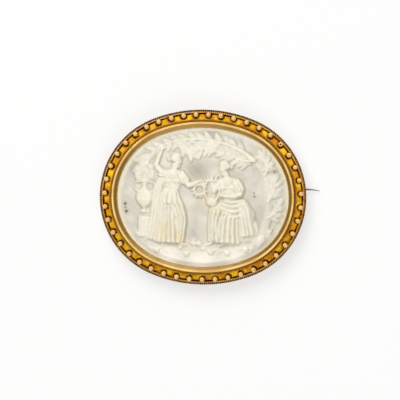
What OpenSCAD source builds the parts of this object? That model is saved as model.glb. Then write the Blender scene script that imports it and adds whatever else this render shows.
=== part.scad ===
// Cameo brooch: a carved oval shell in a granulated gold frame, with a hinged pin at the back.
// The frame lies flat: +Z is out of the carved face, +X is to the right and +Y is up.
// The origin is under the oval's centre, on the plane that the brooch's back is pinned to.

/* [Oval] */
// Full width over the outer twisted wire
frame_w = 58; // [54:0.5:62]
// Full height over the outer twisted wire
frame_h = 49; // [46:0.04:51]

/* [Border] */
// Thickness of the outer twisted wire
rope_d = 0.7; // [0.5:0.02:0.8]
// Thickness of the inner twisted wire
inner_rope_d = 0.4; // [0.3:0.02:0.5]
// Width of the thin wall inside the outer twisted wire
crest_w = 0.18; // [0.14:0.01:0.3]
// Height of that wall above the channel floor
crest_h = 0.45; // [0.3:0.05:0.5]
// Width of the groove between the wall and the floor
groove_w = 0.48; // [0.3:0.02:0.6]
// Depth of the groove below the floor
groove_deep = 0.4; // [0.2:0.05:0.6]
// Width of the channel floor
floor_w = 1.28; // [1.1:0.02:1.6]
// Width of the thin ridge inside the floor
ridge_w = 0.2; // [0.14:0.01:0.3]
// Height of that ridge above the floor
ridge_h = 0.15; // [0.1:0.05:0.4]
// Height of the floor above the rim's bottom
floor_z = 3; // [2.8:0.05:3.6]

/* [Granules] */
// Number of round granules
granule_n = 43; // [36:1:44]
// Diameter of a granule
granule_d = 1.38; // [1.1:0.02:1.4]
// Depth that a granule is sunk into its solder
granule_sink = 0.07; // [0.04:0.01:0.12]
// Distance of the first granule from the right end, along the rim
granule_start = 1.5; // [0:0.02:3]
// Drift of the hand-set granules, at equal steps round the rim, as shares of a granule's diameter
granule_drift = [0, 0.28, 0.46, -0.42, -0.58, -0.12, 0.04, 0, -0.4, -0.28, 0];

/* [Bezel] */
// Width of the polished bezel seen from the front
bezel_w = 1.65; // [1.4:0.05:2]
// Width of the bezel's lip over the shell
lip_w = 0.6; // [0.4:0.05:0.8]
// Height of the bezel's outer edge above the channel floor
bezel_h = 1.25; // [1.1:0.05:1.8]
// Thickness of the lip at its inner edge
lip_t = 0.25; // [0.15:0.05:0.4]

/* [Shell] */
// Thickness of the shell's edge
girdle_t = 1; // [0.8:0.05:1.1]
// Rise of the carved ground from its edge to its centre
dome_rise = 2.9; // [2:0.1:3.5]
// Rise of the hollow back
hollow_rise = 2.5; // [1.5:0.1:2.7]
// Height of the highest carving above the ground
relief_h = 1.7; // [1:0.1:2]
// Width of the sloping side of a carved form
carve_run = 0.45; // [0.3:0.05:0.8]
// Number of the carving's cells across the shell
across_n = 64; // [40:2:66]
// Number of the carving's cells up the shell
up_n = 54; // [34:2:56]

/* [Back] */
// Height of the rim's bottom above the plane that the brooch lies on
lift = 1.72; // [1.7:0.02:1.9]
// Thickness of the round wire along the back rim
rim_wire_d = 0.7; // [0.5:0.05:0.9]
// Height of the flat back above the rim's bottom
back_z = 0.5; // [0.4:0.05:0.7]
// Height of the ledge that the shell and bezel stand on, above the rim's bottom
ledge_z = 2.2; // [1.9:0.05:2.4]
// Width of the ledge under the shell
ledge_w = 0.9; // [0.6:0.05:1.4]

/* [Pin] */
// Thickness of the pin wire
pin_d = 0.8; // [0.6:0.05:0.9]
// Thickness of the pin's root, at the hinge
root_d = 0.96; // [0.9:0.02:1.1]
// Length of the root's taper from the hinge axis
root_l = 2.6; // [2.2:0.1:3]
// Thickness of the pin where its point begins
neck_d = 0.7; // [0.5:0.02:0.76]
// Length of the slight taper before the point, which lies in the catch
neck_l = 5.2; // [4.8:0.1:5.8]
// Thickness of the pin's point
point_d = 0.16; // [0.1:0.02:0.3]
// Length of the point's taper
taper_l = 5.5; // [4:0.5:6]
// Length of the pin past the frame's right edge
pin_past = 3.5; // [2:0.1:4]
// Height of the pin line above the oval's middle, seen from the front
pin_y = 2.63; // [0:0.05:5]
// Fall of the pin from the hinge to the catch
pin_fall = 0.35; // [0.2:0.05:0.4]
// Tilt of the hinge axis, which lets the pin leave the catch sideways
axis_tilt = 18; // [15:1:22]

/* [Hinge] */
// Distance of the hinge axis from the frame's left edge
hinge_in = 3.5; // [3.2:0.1:4]
// Outer diameter of the pin's barrel
barrel_d = 1.6; // [1.4:0.05:1.7]
// Outer diameter of the hinge's ears
ear_d = 1.8; // [1.6:0.05:1.8]
// Width of the pin's barrel between the ears
barrel_w = 1.3; // [1:0.1:1.5]
// Thickness of a hinge ear
ear_t = 0.6; // [0.5:0.05:0.8]
// Thickness of the rivet
rivet_d = 0.7; // [0.5:0.05:0.8]
// Diameter of the rivet's heads
rivet_head_d = 0.98; // [0.9:0.02:1.1]
// Thickness of the rivet's heads
rivet_head_t = 0.12; // [0.08:0.02:0.16]
// Thickness of the hinge's and catch's base plates
plate_t = 0.35; // [0.25:0.05:0.4]
// Width of the base plates beyond the ears and the hook
plate_rim = 0.6; // [0.4:0.05:0.7]

/* [Catch] */
// Distance of the catch's middle from the frame's right edge
catch_in = 3.5; // [3.2:0.1:4]
// Width of the catch along the pin
catch_w = 2.2; // [1.5:0.1:2.6]
// Thickness of the catch's hook
hook_t = 0.4; // [0.3:0.05:0.5]
// Space between the pin and the hook's lip
hook_room = 0.12; // [0.08:0.02:0.2]

/* [Clearances] */
// Gap between pieces that are soldered or set against each other
gap = 0.03; // [0.02:0.01:0.05]
// Running clearance of the rivet and the barrel
run_gap = 0.04; // [0.03:0.01:0.06]

/* [Hidden] */
$fn = 96;

// The oval has four arcs, whose centres and joints lie on triangles of sides 5, 12 and 13
oval_k = (frame_w - frame_h) / 8;
end_x = 5 * oval_k;
side_y = 12 * oval_k;
end_r = frame_w / 2 - end_x;
side_r = frame_h / 2 + side_y;
end_half = atan2(12, 5);
side_half = 90 - end_half;
hair = 0.000001;

// Distances inward from the outer edge
crest_u = rope_d + gap;
groove_u = crest_u + crest_w;
floor_u = groove_u + groove_w;
ridge_u = floor_u + floor_w;
inner_rope_u = ridge_u + ridge_w + gap;
bezel_u = inner_rope_u + inner_rope_d + gap;
window_u = bezel_u + bezel_w;
shell_u = window_u - lip_w;
opening_u = shell_u + ledge_w;

// Heights above the plane that the brooch lies on
floor_top = lift + floor_z;
rope_z = floor_top + crest_h - rope_d / 2 + gap;
inner_rope_z = floor_top + inner_rope_d / 2 - gap;
ledge_top = lift + ledge_z;
shell_z = ledge_top + gap;
margin_z = shell_z + girdle_t;
back_top = lift + back_z;

// Pin, hinge and catch, with the catch's lip on the plane that the brooch lies on
pin_r = pin_d / 2;
pin_z = pin_r + hook_room + hook_t;
axis_z = pin_z + pin_fall;
hinge_x = hinge_in - frame_w / 2;
catch_x = frame_w / 2 - catch_in;
pin_slope = atan(pin_fall / (catch_x - hinge_x));
pin_l = (frame_w / 2 + pin_past - hinge_x) / cos(pin_slope);
plate_top = back_top - gap;
plate_z = plate_top - plate_t;
ear_y = barrel_w / 2 + run_gap;

gold = [0.86, 0.62, 0.25];
floor_gold = [0.93, 0.7, 0.2];
shell_white = [0.93, 0.91, 0.83];
pin_grey = [0.66, 0.6, 0.46];

// Prism between two lines of the 5-12-13 triangle that meet at a point and open upwards.
// The prisms are a hair wide of those lines, so that the arcs they cut run into each other.
module wedge(reach) {
    x = 5 * reach / 8 + hair;
    y = 12 * reach / 8;
    translate([0, 0, -reach]) linear_extrude(2 * reach)
        polygon([[0, 0], [x, y], [-x, y]]);
}

// Prism of the rest, which opens to the right
module wide_wedge(reach) {
    x = 5 * reach / 8 - hair;
    y = 12 * reach / 8;
    translate([0, 0, -reach]) linear_extrude(2 * reach)
        polygon([[0, 0], [x, -y], [x + reach, -y], [x + reach, y], [x, y]]);
}

// Sweep a profile round the oval: its x is minus the distance inward from the outer edge
module oval_sweep() {
    reach = frame_w / 2;
    for (turn = [0, 180]) {
        rotate(turn) {
            translate([end_x, 0, 0]) intersection() {
                rotate_extrude() translate([end_r, 0]) children();
                wide_wedge(reach);
            }
            translate([0, -side_y, 0]) intersection() {
                rotate_extrude() translate([side_r, 0]) children();
                wedge(reach);
            }
        }
    }
}

// Length of the rim over one end arc and one side arc, at a distance inward
function end_arc(u) = (end_r - u) * 2 * end_half * PI / 180;
function side_arc(u) = (side_r - u) * 2 * side_half * PI / 180;
function rim_length(u) = 2 * (end_arc(u) + side_arc(u));

// Point on the rim at a length from the right end, counter-clockwise, at a distance inward
function arc_point(centre, r, a) = centre + r * [cos(a), sin(a)];
function rim_point(s, u) =
    let (half = rim_length(u) / 2,
         t = s - floor(s / half) * half,
         sign = (floor(s / half) % 2 == 0) ? 1 : -1,
         quarter = end_arc(u) / 2,
         p = t < quarter ? arc_point([end_x, 0], end_r - u, t / (end_r - u) * 180 / PI)
           : t < quarter + side_arc(u)
             ? arc_point([0, -side_y], side_r - u,
                         90 - side_half + (t - quarter) / (side_r - u) * 180 / PI)
           : arc_point([-end_x, 0], end_r - u,
                       180 - end_half + (t - quarter - side_arc(u)) / (end_r - u) * 180 / PI))
    sign * p;

// Distance from the centre to the oval at a distance inward, along a direction
function oval_reach(a, u) =
    let (c = abs(cos(a)), s = abs(sin(a)),
         t = end_x * c + sqrt(pow(end_r - u, 2) - pow(end_x * s, 2)))
    t * s * 5 <= (t * c - end_x) * 12
        ? t
        : -side_y * s + sqrt(pow(side_r - u, 2) - pow(side_y * c, 2));

// Frame: outer wall, grooved channel, granules, ledge and back, in one piece of soldered metal
module frame() {
    color(floor_gold) {
        oval_sweep() frame_section();
        granules();
    }
}

module frame_section() {
    top = floor_top + crest_h;
    low = back_top;
    polygon([
        [-crest_u, low], [-crest_u, top], [-groove_u, top],
        [-groove_u, floor_top - groove_deep], [-floor_u, floor_top - groove_deep],
        [-floor_u, floor_top], [-ridge_u, floor_top],
        [-ridge_u, floor_top + ridge_h], [-ridge_u - ridge_w, floor_top + ridge_h],
        [-ridge_u - ridge_w, floor_top - gap], [-bezel_u + gap, floor_top - gap],
        [-bezel_u + gap, ledge_top], [-opening_u, ledge_top], [-opening_u, low]
    ]);
    translate([-crest_u - rim_wire_d / 2 + gap, lift + rim_wire_d / 2]) circle(d = rim_wire_d);
}

// Drift of a granule, worked out between the steps of the drift list
function drift(k) =
    let (steps = len(granule_drift) - 1,
         f = k / granule_n * steps,
         i = floor(f))
    granule_drift[i] + (granule_drift[i + 1] - granule_drift[i]) * (f - i);

module granules() {
    granule_u = groove_u + granule_d * 0.4;
    for (k = [0 : granule_n - 1]) {
        s = granule_start + k * rim_length(0) / granule_n + drift(k) * granule_d;
        p = rim_point(s * rim_length(granule_u) / rim_length(0), granule_u);
        translate([p[0], p[1], floor_top + granule_d / 2 - granule_sink])
            sphere(d = granule_d);
    }
}

// Outer twisted wire, as the plain round that its two strands fill
module outer_rope() {
    color(gold) oval_sweep()
        translate([-rope_d / 2, rope_z]) circle(d = rope_d);
}

// Inner twisted wire
module inner_rope() {
    middle_u = inner_rope_u + inner_rope_d / 2;
    color(gold) oval_sweep()
        translate([-middle_u, inner_rope_z]) circle(d = inner_rope_d);
}

// Rounded face of the bezel. Columns: share of its width from outside, share of its height below its top
bezel_face = [
    [0, 0.3], [0.04, 0.12], [0.1, 0.04], [0.19, 0.01], [0.28, 0], [0.37, 0.01], [0.46, 0.045],
    [0.56, 0.105], [0.93, 0.36]
];

// Bezel: a polished collet whose lip is rubbed over the shell's edge
module bezel() {
    top = floor_top + bezel_h;
    foot = ledge_top + gap;
    lip_z = margin_z + gap;
    wall_u = shell_u - gap;
    color(gold) oval_sweep() polygon(concat(
        [[-bezel_u, foot]],
        [for (p = bezel_face) [-bezel_u - p[0] * bezel_w, top - p[1] * bezel_h]],
        [[-window_u, lip_z + lip_t], [-window_u, lip_z], [-wall_u, lip_z], [-wall_u, foot]]
    ));
}

// Carving, as rounded strokes between two points.
// Columns: x1, y1, r1, x2, y2, r2, level. x is in hundredths of the window's half width, y and r in
// hundredths of its half height, and level in hundredths of the highest carving.
LEVEL = 6;
// Share that turns hundredths up the window into hundredths across it
ACROSS = (frame_h / 2 - window_u) / (frame_w / 2 - window_u);

// Turf, and the rock that the seated woman is on
MOUND = [
    [-46, -84, 9, 44, -84, 9, 12],
    [-66, -58, 8, -44, -76, 9, 12],
    [44, -76, 9, 68, -58, 9, 12],
    [-24, -75, 7, 18, -75, 7, 12],
    [48, -36, 10, 48, -56, 12, 22],
    [58, -38, 9, 58, -58, 9, 22],
    [54, -22, 7, 56, -32, 8, 22],
    [60, -64, 7, 68, -62, 7, 18]
];

// Pillar with a vase on it. Its x are from its own middle.
VASE_X = -67;
PILLAR = [
    [-7, -63, 3, 7, -63, 3, 28],
    [-7, -58, 2.6, 7, -58, 2.6, 28],
    [-4, -56, 3.8, -4, -30, 3.8, 28],
    [0, -56, 3.8, 0, -30, 3.8, 34],
    [4, -56, 3.8, 4, -30, 3.8, 28],
    [-7, -28, 2.6, 7, -28, 2.6, 30],
    [-7, -25, 3, 7, -25, 3, 32],
    [0, -22, 5, 0, -15, 3.4, 28],
    [0, -9, 8.5, 0, -2, 12, 30],
    [0, -2, 12, 0, 3, 12, 30],
    [0, 3, 12, 0, 10, 6, 30],
    [0, 10, 5, 0, 20, 4.2, 30],
    [-5, 22.5, 2.6, 5, 22.5, 2.6, 38],
    [-8, 6, 2, -12, 12, 2, 28],
    [-12, 12, 2, -10, 19, 2, 28],
    [-10, 19, 2, -5, 20, 2, 28],
    [8, 6, 2, 12, 12, 2, 28],
    [12, 12, 2, 10, 19, 2, 28],
    [10, 19, 2, 5, 20, 2, 28]
];
VASE = [for (p = PILLAR) [p[0] + VASE_X, p[1], p[2], p[3] + VASE_X, p[4], p[5], p[6]]];

// Flowers in the vase. Columns: direction, length of the stalk
FLOWERS = [
    [22, 12], [40, 16], [62, 20], [84, 23], [105, 21], [128, 18], [150, 14], [168, 10]
];
MOUTH_Y = 24;
BOUQUET = [
    for (f = FLOWERS)
        [VASE_X + ACROSS * f[1] * cos(f[0]), MOUTH_Y + f[1] * sin(f[0]), 4.6, VASE_X, MOUTH_Y, 3, 24]
];

TREE = [
    [69, -62, 9.6, 73, -43, 7.2, 22],
    [73, -43, 7.2, 76.5, -18, 6.1, 24],
    [76.5, -18, 6.1, 77, 8, 5.3, 26],
    [77, 8, 5.3, 72, 33, 4.8, 28],
    [72, 33, 4.8, 59, 54, 4.3, 30],
    [59, 54, 4.3, 42, 68, 3.4, 32],
    [42, 68, 3.4, 21, 77, 3, 30],
    [21, 77, 3, -4, 82, 2.6, 28],
    [-4, 82, 2.6, -31, 79, 2.4, 26],
    [-31, 79, 2.4, -55, 67, 2.2, 24],
    [-55, 67, 2.2, -72, 47, 2, 20]
];

// Woman standing, facing right
STANDING = [
    [-30, 49.5, 8.6, -31, 54, 8.6, 56],
    [-37, 52, 4.4, -39, 51, 3.8, 46],
    [-32, 43, 5, -34, 34, 6.4, 42],
    [-44, 31, 6.2, -24, 31, 6.2, 44],
    [-34.5, 28, 12.6, -35.5, 9, 10, 38],
    [-36, 8, 10.5, -37, -10, 15, 38],
    [-44, -8, 7, -51, -59, 7.5, 28],
    [-38, -8, 7, -42, -60, 7.5, 28],
    [-33, -8, 7, -33, -60, 7, 28],
    [-31, -6, 10.5, -24, -33, 8.6, 46],
    [-24, -33, 8.6, -25, -60, 7, 36],
    [-46, 30, 5, -53, -15, 8, 22],
    [-53, -15, 8.5, -58, -56, 9.5, 18],
    [-24, 30, 6.6, -15.5, 17, 4.8, 60],
    [-15.5, 17, 4.5, -5, 22, 3, 66],
    [-5, 22.5, 3, 0, 22.5, 2.4, 64],
    [-45, 31, 5.6, -54, 46, 4.5, 52],
    [-54, 46, 4.4, -48, 63, 3, 50],
    [-48, 64, 3, -47, 70, 2.4, 50],
    [-25, -65, 3.2, -17, -68, 2.4, 34],
    [-45, -66, 3, -39, -69, 2.4, 24]
];

// Wreath that she holds out, as strokes round a ring
WREATH_N = 10;
WREATH_R = 8;
WREATH_X = -3;
WREATH_Y = 11;
function on_wreath(k) =
    let (a = k * 360 / WREATH_N)
    [WREATH_X + ACROSS * WREATH_R * cos(a), WREATH_Y + WREATH_R * sin(a), 2.6];
WREATH = [for (k = [0 : WREATH_N - 1]) concat(on_wreath(k), on_wreath(k + 1), 44)];

// Woman seated, facing left
SEATED = [
    [24.5, 39.5, 8.5, 25, 43.5, 8.5, 56],
    [32, 42.5, 4.4, 34, 42, 3.8, 46],
    [26.5, 34, 5, 29, 25, 6.4, 42],
    [20, 21, 6, 39, 21, 6.2, 44],
    [30, 19, 12.4, 34, -2, 10.6, 38],
    [46, -6, 8.5, 51, -34, 10, 38],
    [51, -34, 10, 54, -48, 11, 32],
    [42, -13, 12.6, 17, -17, 10, 46],
    [15, -18, 9.4, 13, -38, 8, 44],
    [13, -38, 8, 13.5, -57, 8, 34],
    [27, -22, 7, 21, -58, 7, 26],
    [33, -22, 7, 29, -59, 7, 26],
    [39, -22, 7, 38, -58, 7, 26],
    [40, 21, 6.4, 44, 6, 4.8, 60],
    [44, 5.5, 4.6, 27, 2.5, 3, 66],
    [25, 3, 3, 21, 4, 2.4, 66],
    [20, 20, 5.4, 14, 9, 4.2, 44],
    [14, 9, 4, 11.5, 23, 3, 48],
    [12, -64, 3.2, 4, -68, 2.4, 36],
    [27, -65, 3, 19, -69, 2.4, 26]
];

LYRE = [
    [11.6, -8, 7, 11.6, -4, 7, 54],
    [6.4, -3, 2.5, 3, 7, 2.3, 54],
    [3, 7, 2.3, 5.4, 30, 2.2, 52],
    [16.8, -3, 2.5, 20.3, 7, 2.3, 54],
    [20.3, 7, 2.3, 17.8, 30, 2.2, 52],
    [3.7, 24, 2, 19.4, 24, 2, 56]
];

// Leaves along the boughs. Columns: x and y of the bough's start and end, leaf pairs, leaf length
BOUGHS = [
    [59, 54, 42, 68, 3, 16],
    [42, 68, 21, 77, 3, 16],
    [21, 77, -4, 82, 3, 16],
    [-4, 82, -31, 79, 3, 16],
    [-31, 79, -55, 67, 3, 16],
    [-55, 67, -72, 47, 3, 15],
    [76, -5, 84, 26, 4, 13],
    [72, 33, 70, 59, 4, 13],
    [59, 53, 22, 64, 5, 13],
    [21, 77, -10, 67, 4, 13],
    [-31, 79, -14, 63, 3, 12],
    [74, -28, 88, -14, 3, 11]
];
LEAF_R = 3.4;
LEAF_LEVEL = 24;
LEAF_SPREAD = 40;
// Roundness of a stroke's top, as a share of its half width
STROKE_BULGE = 0.36;

function leaf(x, y, a, l) =
    [x, y, LEAF_R, x + ACROSS * l * cos(a), y + l * sin(a), LEAF_R * 0.4, LEAF_LEVEL];
LEAVES = [
    for (b = BOUGHS)
        let (a = atan2(b[3] - b[1], b[2] - b[0]))
        for (k = [0 : b[4] - 1], side = [-1, 1])
            let (t = (k + 0.5) / b[4])
            leaf(b[0] + (b[2] - b[0]) * t, b[1] + (b[3] - b[1]) * t,
                 a + side * LEAF_SPREAD, b[5])
];

// Height of one stroke over a point, in millimetres
function stroke_height(p, s, w, h) =
    let (a = [s[0] * w, s[1] * h],
         d = [s[3] * w, s[4] * h] - a,
         t = d * d > 0 ? max(0, min(1, (p - a) * d / (d * d))) : 0,
         r = (s[2] + (s[5] - s[2]) * t) * h,
         q = norm(p - a - t * d))
    q < r
        ? min(1, (r - q) / carve_run) * relief_h * s[LEVEL] / 100 + STROKE_BULGE * sqrt(r * r - q * q)
        : 0;

// Cameo: a domed shell with a hollow back, its carving raised as a grid of heights
module cameo() {
    n = across_n;
    m = up_n;
    w = (frame_w / 2 - window_u) / 100;
    h = (frame_h / 2 - window_u) / 100;
    strokes = concat(MOUND, VASE, BOUQUET, TREE, LEAVES, STANDING, WREATH, SEATED, LYRE);
    // Shares of the way from the centre to the shell's edge where the carving ends and fades
    window = 0.99 - lip_w / (frame_h / 2 - shell_u);
    fade = 0.06;
    // Square grid drawn out to the shell's oval: angle and share of the way to the edge
    grid = [
        for (j = [0 : m]) [
            for (i = [0 : n])
                let (a = 2 * i / n - 1,
                     b = 2 * j / m - 1,
                     x = a * sqrt(1 - b * b / 2),
                     y = b * sqrt(1 - a * a / 2))
                [atan2(y, x), min(1, norm([x, y]))]
        ]
    ];
    edge = concat(
        [for (i = [0 : n - 1]) [i, 0]],
        [for (j = [0 : m - 1]) [n, j]],
        [for (i = [n : -1 : 1]) [i, m]],
        [for (j = [m : -1 : 1]) [0, j]]
    );
    count = len(edge);
    // Back rings. Columns: share of the way to the edge, share of the hollow's rise
    rings = [[1, 0], [0.95, 0], [0.64, 0.56], [0.32, 0.9]];

    function place(cell, share) =
        let (r = share * oval_reach(cell[0], shell_u))
        [r * cos(cell[0]), r * sin(cell[0])];
    function carving(p, share, near) =
        max([0, for (s = near) stroke_height(p, s, w, h)])
        * max(0, min(1, (window - share) / fade));
    function top_point(cell, near) =
        let (p = place(cell, cell[1]),
             dome = dome_rise * max(0, 1 - pow(cell[1] / window, 2)))
        [p[0], p[1], margin_z + dome + min(relief_h, carving(p, cell[1], near))];

    top = [
        for (j = [0 : m])
            let (ys = [for (c = grid[j]) place(c, c[1])[1]],
                 near = [for (s = strokes)
                             if (max(s[1] + s[2], s[4] + s[5]) * h >= min(ys)
                                 && min(s[1] - s[2], s[4] - s[5]) * h <= max(ys)) s])
            for (c = grid[j]) top_point(c, near)
    ];
    back = [
        for (ring = rings, e = edge)
            let (p = place(grid[e[1]][e[0]], ring[0]))
            [p[0], p[1], shell_z + hollow_rise * ring[1]]
    ];
    centre = [0, 0, shell_z + hollow_rise];

    function top_index(e) = e[1] * (n + 1) + e[0];
    base = len(top);
    hub = base + len(back);
    faces = concat(
        [for (j = [0 : m - 1], i = [0 : n - 1], f = [0, 1])
            let (a = j * (n + 1) + i, b = a + 1, c = a + n + 2, d = a + n + 1)
            (i < n / 2) == (j < m / 2)
                ? (f == 0 ? [a, d, b] : [b, d, c])
                : (f == 0 ? [a, c, b] : [a, d, c])],
        [for (k = [0 : count - 1], f = [0, 1])
            let (k2 = (k + 1) % count, a = top_index(edge[k]), b = top_index(edge[k2]))
            f == 0 ? [a, b, base + k] : [b, base + k2, base + k]],
        [for (q = [0 : len(rings) - 2], k = [0 : count - 1], f = [0, 1])
            let (k2 = (k + 1) % count, a = base + q * count, b = a + count)
            f == 0 ? [a + k, a + k2, b + k] : [a + k2, b + k2, b + k]],
        [for (k = [0 : count - 1])
            let (a = base + (len(rings) - 1) * count)
            [a + k, a + (k + 1) % count, hub]]
    );
    color(shell_white) polyhedron(concat(top, back, [centre]), faces);
}

// Place and tilt of the hinge axis, with Y along the axis
module at_hinge() {
    translate([hinge_x, pin_y, axis_z]) rotate([-axis_tilt, 0, 0]) children();
}

module along_axis(d, l) {
    rotate([90, 0, 0]) cylinder(d = d, h = l, center = true);
}

// Hinge bracket: a base plate on the frame's flat back, with two ears
module hinge() {
    slot_x = barrel_d + 4 * run_gap;
    slot_y = 2 * ear_y + barrel_d * sin(axis_tilt);
    plate_x = slot_x + 2 * plate_rim;
    plate_y = slot_y + 3 * ear_t;
    color(gold) difference() {
        union() {
            translate([hinge_x - plate_x / 2, pin_y - plate_y / 2, plate_z])
                cube([plate_x, plate_y, plate_t]);
            at_hinge() for (side = [-1, 1]) {
                translate([0, side * (ear_y + ear_t / 2), 0]) {
                    along_axis(ear_d, ear_t);
                    translate([-ear_d / 2, -ear_t / 2, 0]) cube([ear_d, ear_t, plate_top]);
                }
            }
        }
        translate([hinge_x - plate_x, pin_y - plate_y, plate_top])
            cube([2 * plate_x, 2 * plate_y, 2 * plate_top]);
        at_hinge() {
            along_axis(barrel_d + 4 * run_gap, 2 * ear_y);
            along_axis(rivet_d + 2 * gap, 4 * plate_y);
            for (side = [-1, 1]) {
                translate([0, side * (ear_y + ear_t + plate_y / 2), 0])
                    along_axis(rivet_head_d + 4 * gap, plate_y);
            }
        }
    }
}

// Rivet that the pin turns on
module hinge_rivet() {
    shank = 2 * (ear_y + ear_t + gap);
    color(gold) at_hinge() {
        along_axis(rivet_d, shank);
        for (side = [-1, 1]) {
            translate([0, side * (shank + rivet_head_t) / 2, 0])
                along_axis(rivet_head_d, rivet_head_t);
        }
    }
}

// Pin: a barrel and a straight wire that tapers to a point past the frame's right edge
module pin() {
    color(pin_grey) difference() {
        union() {
            at_hinge() along_axis(barrel_d, barrel_w);
            translate([hinge_x, pin_y, axis_z]) rotate([0, 90 + pin_slope, 0]) {
                cylinder(d1 = root_d, d2 = pin_d, h = root_l);
                translate([0, 0, root_l]) cylinder(d = pin_d, h = pin_l - taper_l - neck_l - root_l);
                translate([0, 0, pin_l - taper_l - neck_l])
                    cylinder(d1 = pin_d, d2 = neck_d, h = neck_l);
                translate([0, 0, pin_l - taper_l])
                    cylinder(d1 = neck_d, d2 = point_d, h = taper_l);
            }
        }
        at_hinge() along_axis(rivet_d + 2 * run_gap, 2 * barrel_w);
    }
}

// Catch: a base plate with an open hook whose lip comes under the pin's side
module catch() {
    hook_r = (plate_top - 2 * hook_t) / 2;
    leave = pin_r + hook_t / 2 + hook_room / 2 + gap;
    drop = pin_r + hook_room + hook_t / 2;
    hook_y = (leave - drop * sin(axis_tilt)) / cos(axis_tilt);
    plate_y = hook_y + hook_r + 2 * plate_rim;
    color(gold) translate([catch_x - catch_w / 2, pin_y, 0])
        rotate([90, 0, 90]) linear_extrude(catch_w) {
            translate([hook_y, plate_top / 2]) difference() {
                circle(r = hook_r + hook_t);
                circle(r = hook_r);
                translate([-2 * plate_top, -plate_top]) square(2 * plate_top);
            }
            translate([hook_y, hook_t / 2]) circle(d = hook_t);
            translate([hook_y - plate_y, plate_z]) square([plate_y, plate_t]);
        }
}

frame();
outer_rope();
inner_rope();
bezel();
cameo();
hinge();
hinge_rivet();
pin();
catch();
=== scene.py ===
# Looks of a cameo brooch: a carved shell in a granulated gold frame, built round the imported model.
from math import atan2, cos, exp, pi, radians, sin, tan

import bmesh
import bpy
import numpy as np
from mathutils import Matrix, Vector


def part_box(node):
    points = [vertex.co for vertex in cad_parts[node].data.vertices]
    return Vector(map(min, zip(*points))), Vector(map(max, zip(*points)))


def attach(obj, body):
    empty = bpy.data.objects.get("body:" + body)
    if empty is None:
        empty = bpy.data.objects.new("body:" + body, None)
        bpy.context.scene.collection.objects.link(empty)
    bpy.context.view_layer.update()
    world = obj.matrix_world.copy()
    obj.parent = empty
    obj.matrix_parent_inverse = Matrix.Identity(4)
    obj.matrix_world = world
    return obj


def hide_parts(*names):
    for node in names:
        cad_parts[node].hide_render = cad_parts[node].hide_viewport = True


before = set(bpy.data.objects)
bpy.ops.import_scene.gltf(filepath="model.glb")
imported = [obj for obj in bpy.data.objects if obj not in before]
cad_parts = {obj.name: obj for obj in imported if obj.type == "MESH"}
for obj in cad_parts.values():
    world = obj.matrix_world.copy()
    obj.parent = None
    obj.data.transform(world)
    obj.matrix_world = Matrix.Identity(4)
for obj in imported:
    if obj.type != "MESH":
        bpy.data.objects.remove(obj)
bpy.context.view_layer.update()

# Lengths are in millimetres, and become metres as a mesh is made
MM = 0.001
TURN = 2 * pi


def node_box(name):
    low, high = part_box(name)
    return np.array(low) / MM, np.array(high) / MM


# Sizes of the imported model. One named U is a distance inward from the oval's edge
ROPE_LOW, ROPE_HIGH = node_box("outer_rope")
INNER_LOW, INNER_HIGH = node_box("inner_rope")
FRAME_LOW, FRAME_HIGH = node_box("frame")
BEZEL_LOW, BEZEL_HIGH = node_box("bezel")
SHELL_LOW, SHELL_HIGH = node_box("cameo")
HALF_W, HALF_H = ROPE_HIGH[:2]
ROPE_D = ROPE_HIGH[2] - ROPE_LOW[2]
ROPE_Z = (ROPE_HIGH[2] + ROPE_LOW[2]) / 2
INNER_D = INNER_HIGH[2] - INNER_LOW[2]
INNER_Z = (INNER_HIGH[2] + INNER_LOW[2]) / 2
INNER_U = HALF_W - INNER_HIGH[0]
CREST_U = HALF_W - FRAME_HIGH[0]
RIM_Z = FRAME_LOW[2]
BEZEL_U = HALF_W - BEZEL_HIGH[0]
BEZEL_FOOT, BEZEL_TOP = BEZEL_LOW[2], BEZEL_HIGH[2]
SHELL_U = HALF_W - SHELL_HIGH[0]
SHELL_FOOT = SHELL_LOW[2]

# Sizes of the border's section and of the shell
CREST_W = 0.18
GROOVE_W = 0.48
FLOOR_W = 1.28
RIDGE_W = 0.2
FLOOR_Z = RIM_Z + 3
CREST_H = 0.45
GROOVE_DEEP = 0.4
RIDGE_H = 0.15
BACK_Z = RIM_Z + 0.5
LEDGE_Z = RIM_Z + 2.2
LEDGE_W = 0.9
RIM_WIRE_D = 0.7
BEZEL_W = 1.65
LIP_W = 0.6
LIP_T = 0.25
GIRDLE_T = 1
DOME_RISE = 2.9
HOLLOW_RISE = 2.5
RELIEF_H = 1.7
SET_GAP = 0.03
WINDOW_U = BEZEL_U + BEZEL_W
MARGIN_Z = SHELL_FOOT + GIRDLE_T

# The oval has four arcs, whose centres and joints lie on triangles of sides 5, 12 and 13
OVAL_K = (HALF_W - HALF_H) / 4
END_X = 5 * OVAL_K
SIDE_Y = 12 * OVAL_K
END_R = HALF_W - END_X
SIDE_R = HALF_H + SIDE_Y
END_HALF = atan2(12, 5)
SIDE_HALF = pi / 2 - END_HALF


def rim_length(u=0):
    """Length round the oval, a distance inward."""
    return 4 * ((END_R - u) * END_HALF + (SIDE_R - u) * SIDE_HALF)


def rim(share, u=0):
    """Places and outward directions on the oval, at shares of its length from the right end."""
    end, side = (END_R - u) * END_HALF, (SIDE_R - u) * SIDE_HALF
    half = 2 * (end + side)
    s = share % 1 * 2 * half
    sign = np.where(s >= half, -1, 1)[:, None]
    s = np.where(s >= half, s - half, s)
    angle = np.interp(s, [0, end, end + 2 * side, half], [0, END_HALF, pi - END_HALF, pi])
    on_top = (s >= end) & (s < end + 2 * side)
    centre = np.stack([np.where(s < end, END_X, -END_X) * ~on_top, -SIDE_Y * on_top], -1)
    out = np.stack([np.cos(angle), np.sin(angle)], -1) * sign
    return centre * sign + out * (np.where(on_top, SIDE_R, END_R) - u)[:, None], out


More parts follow.
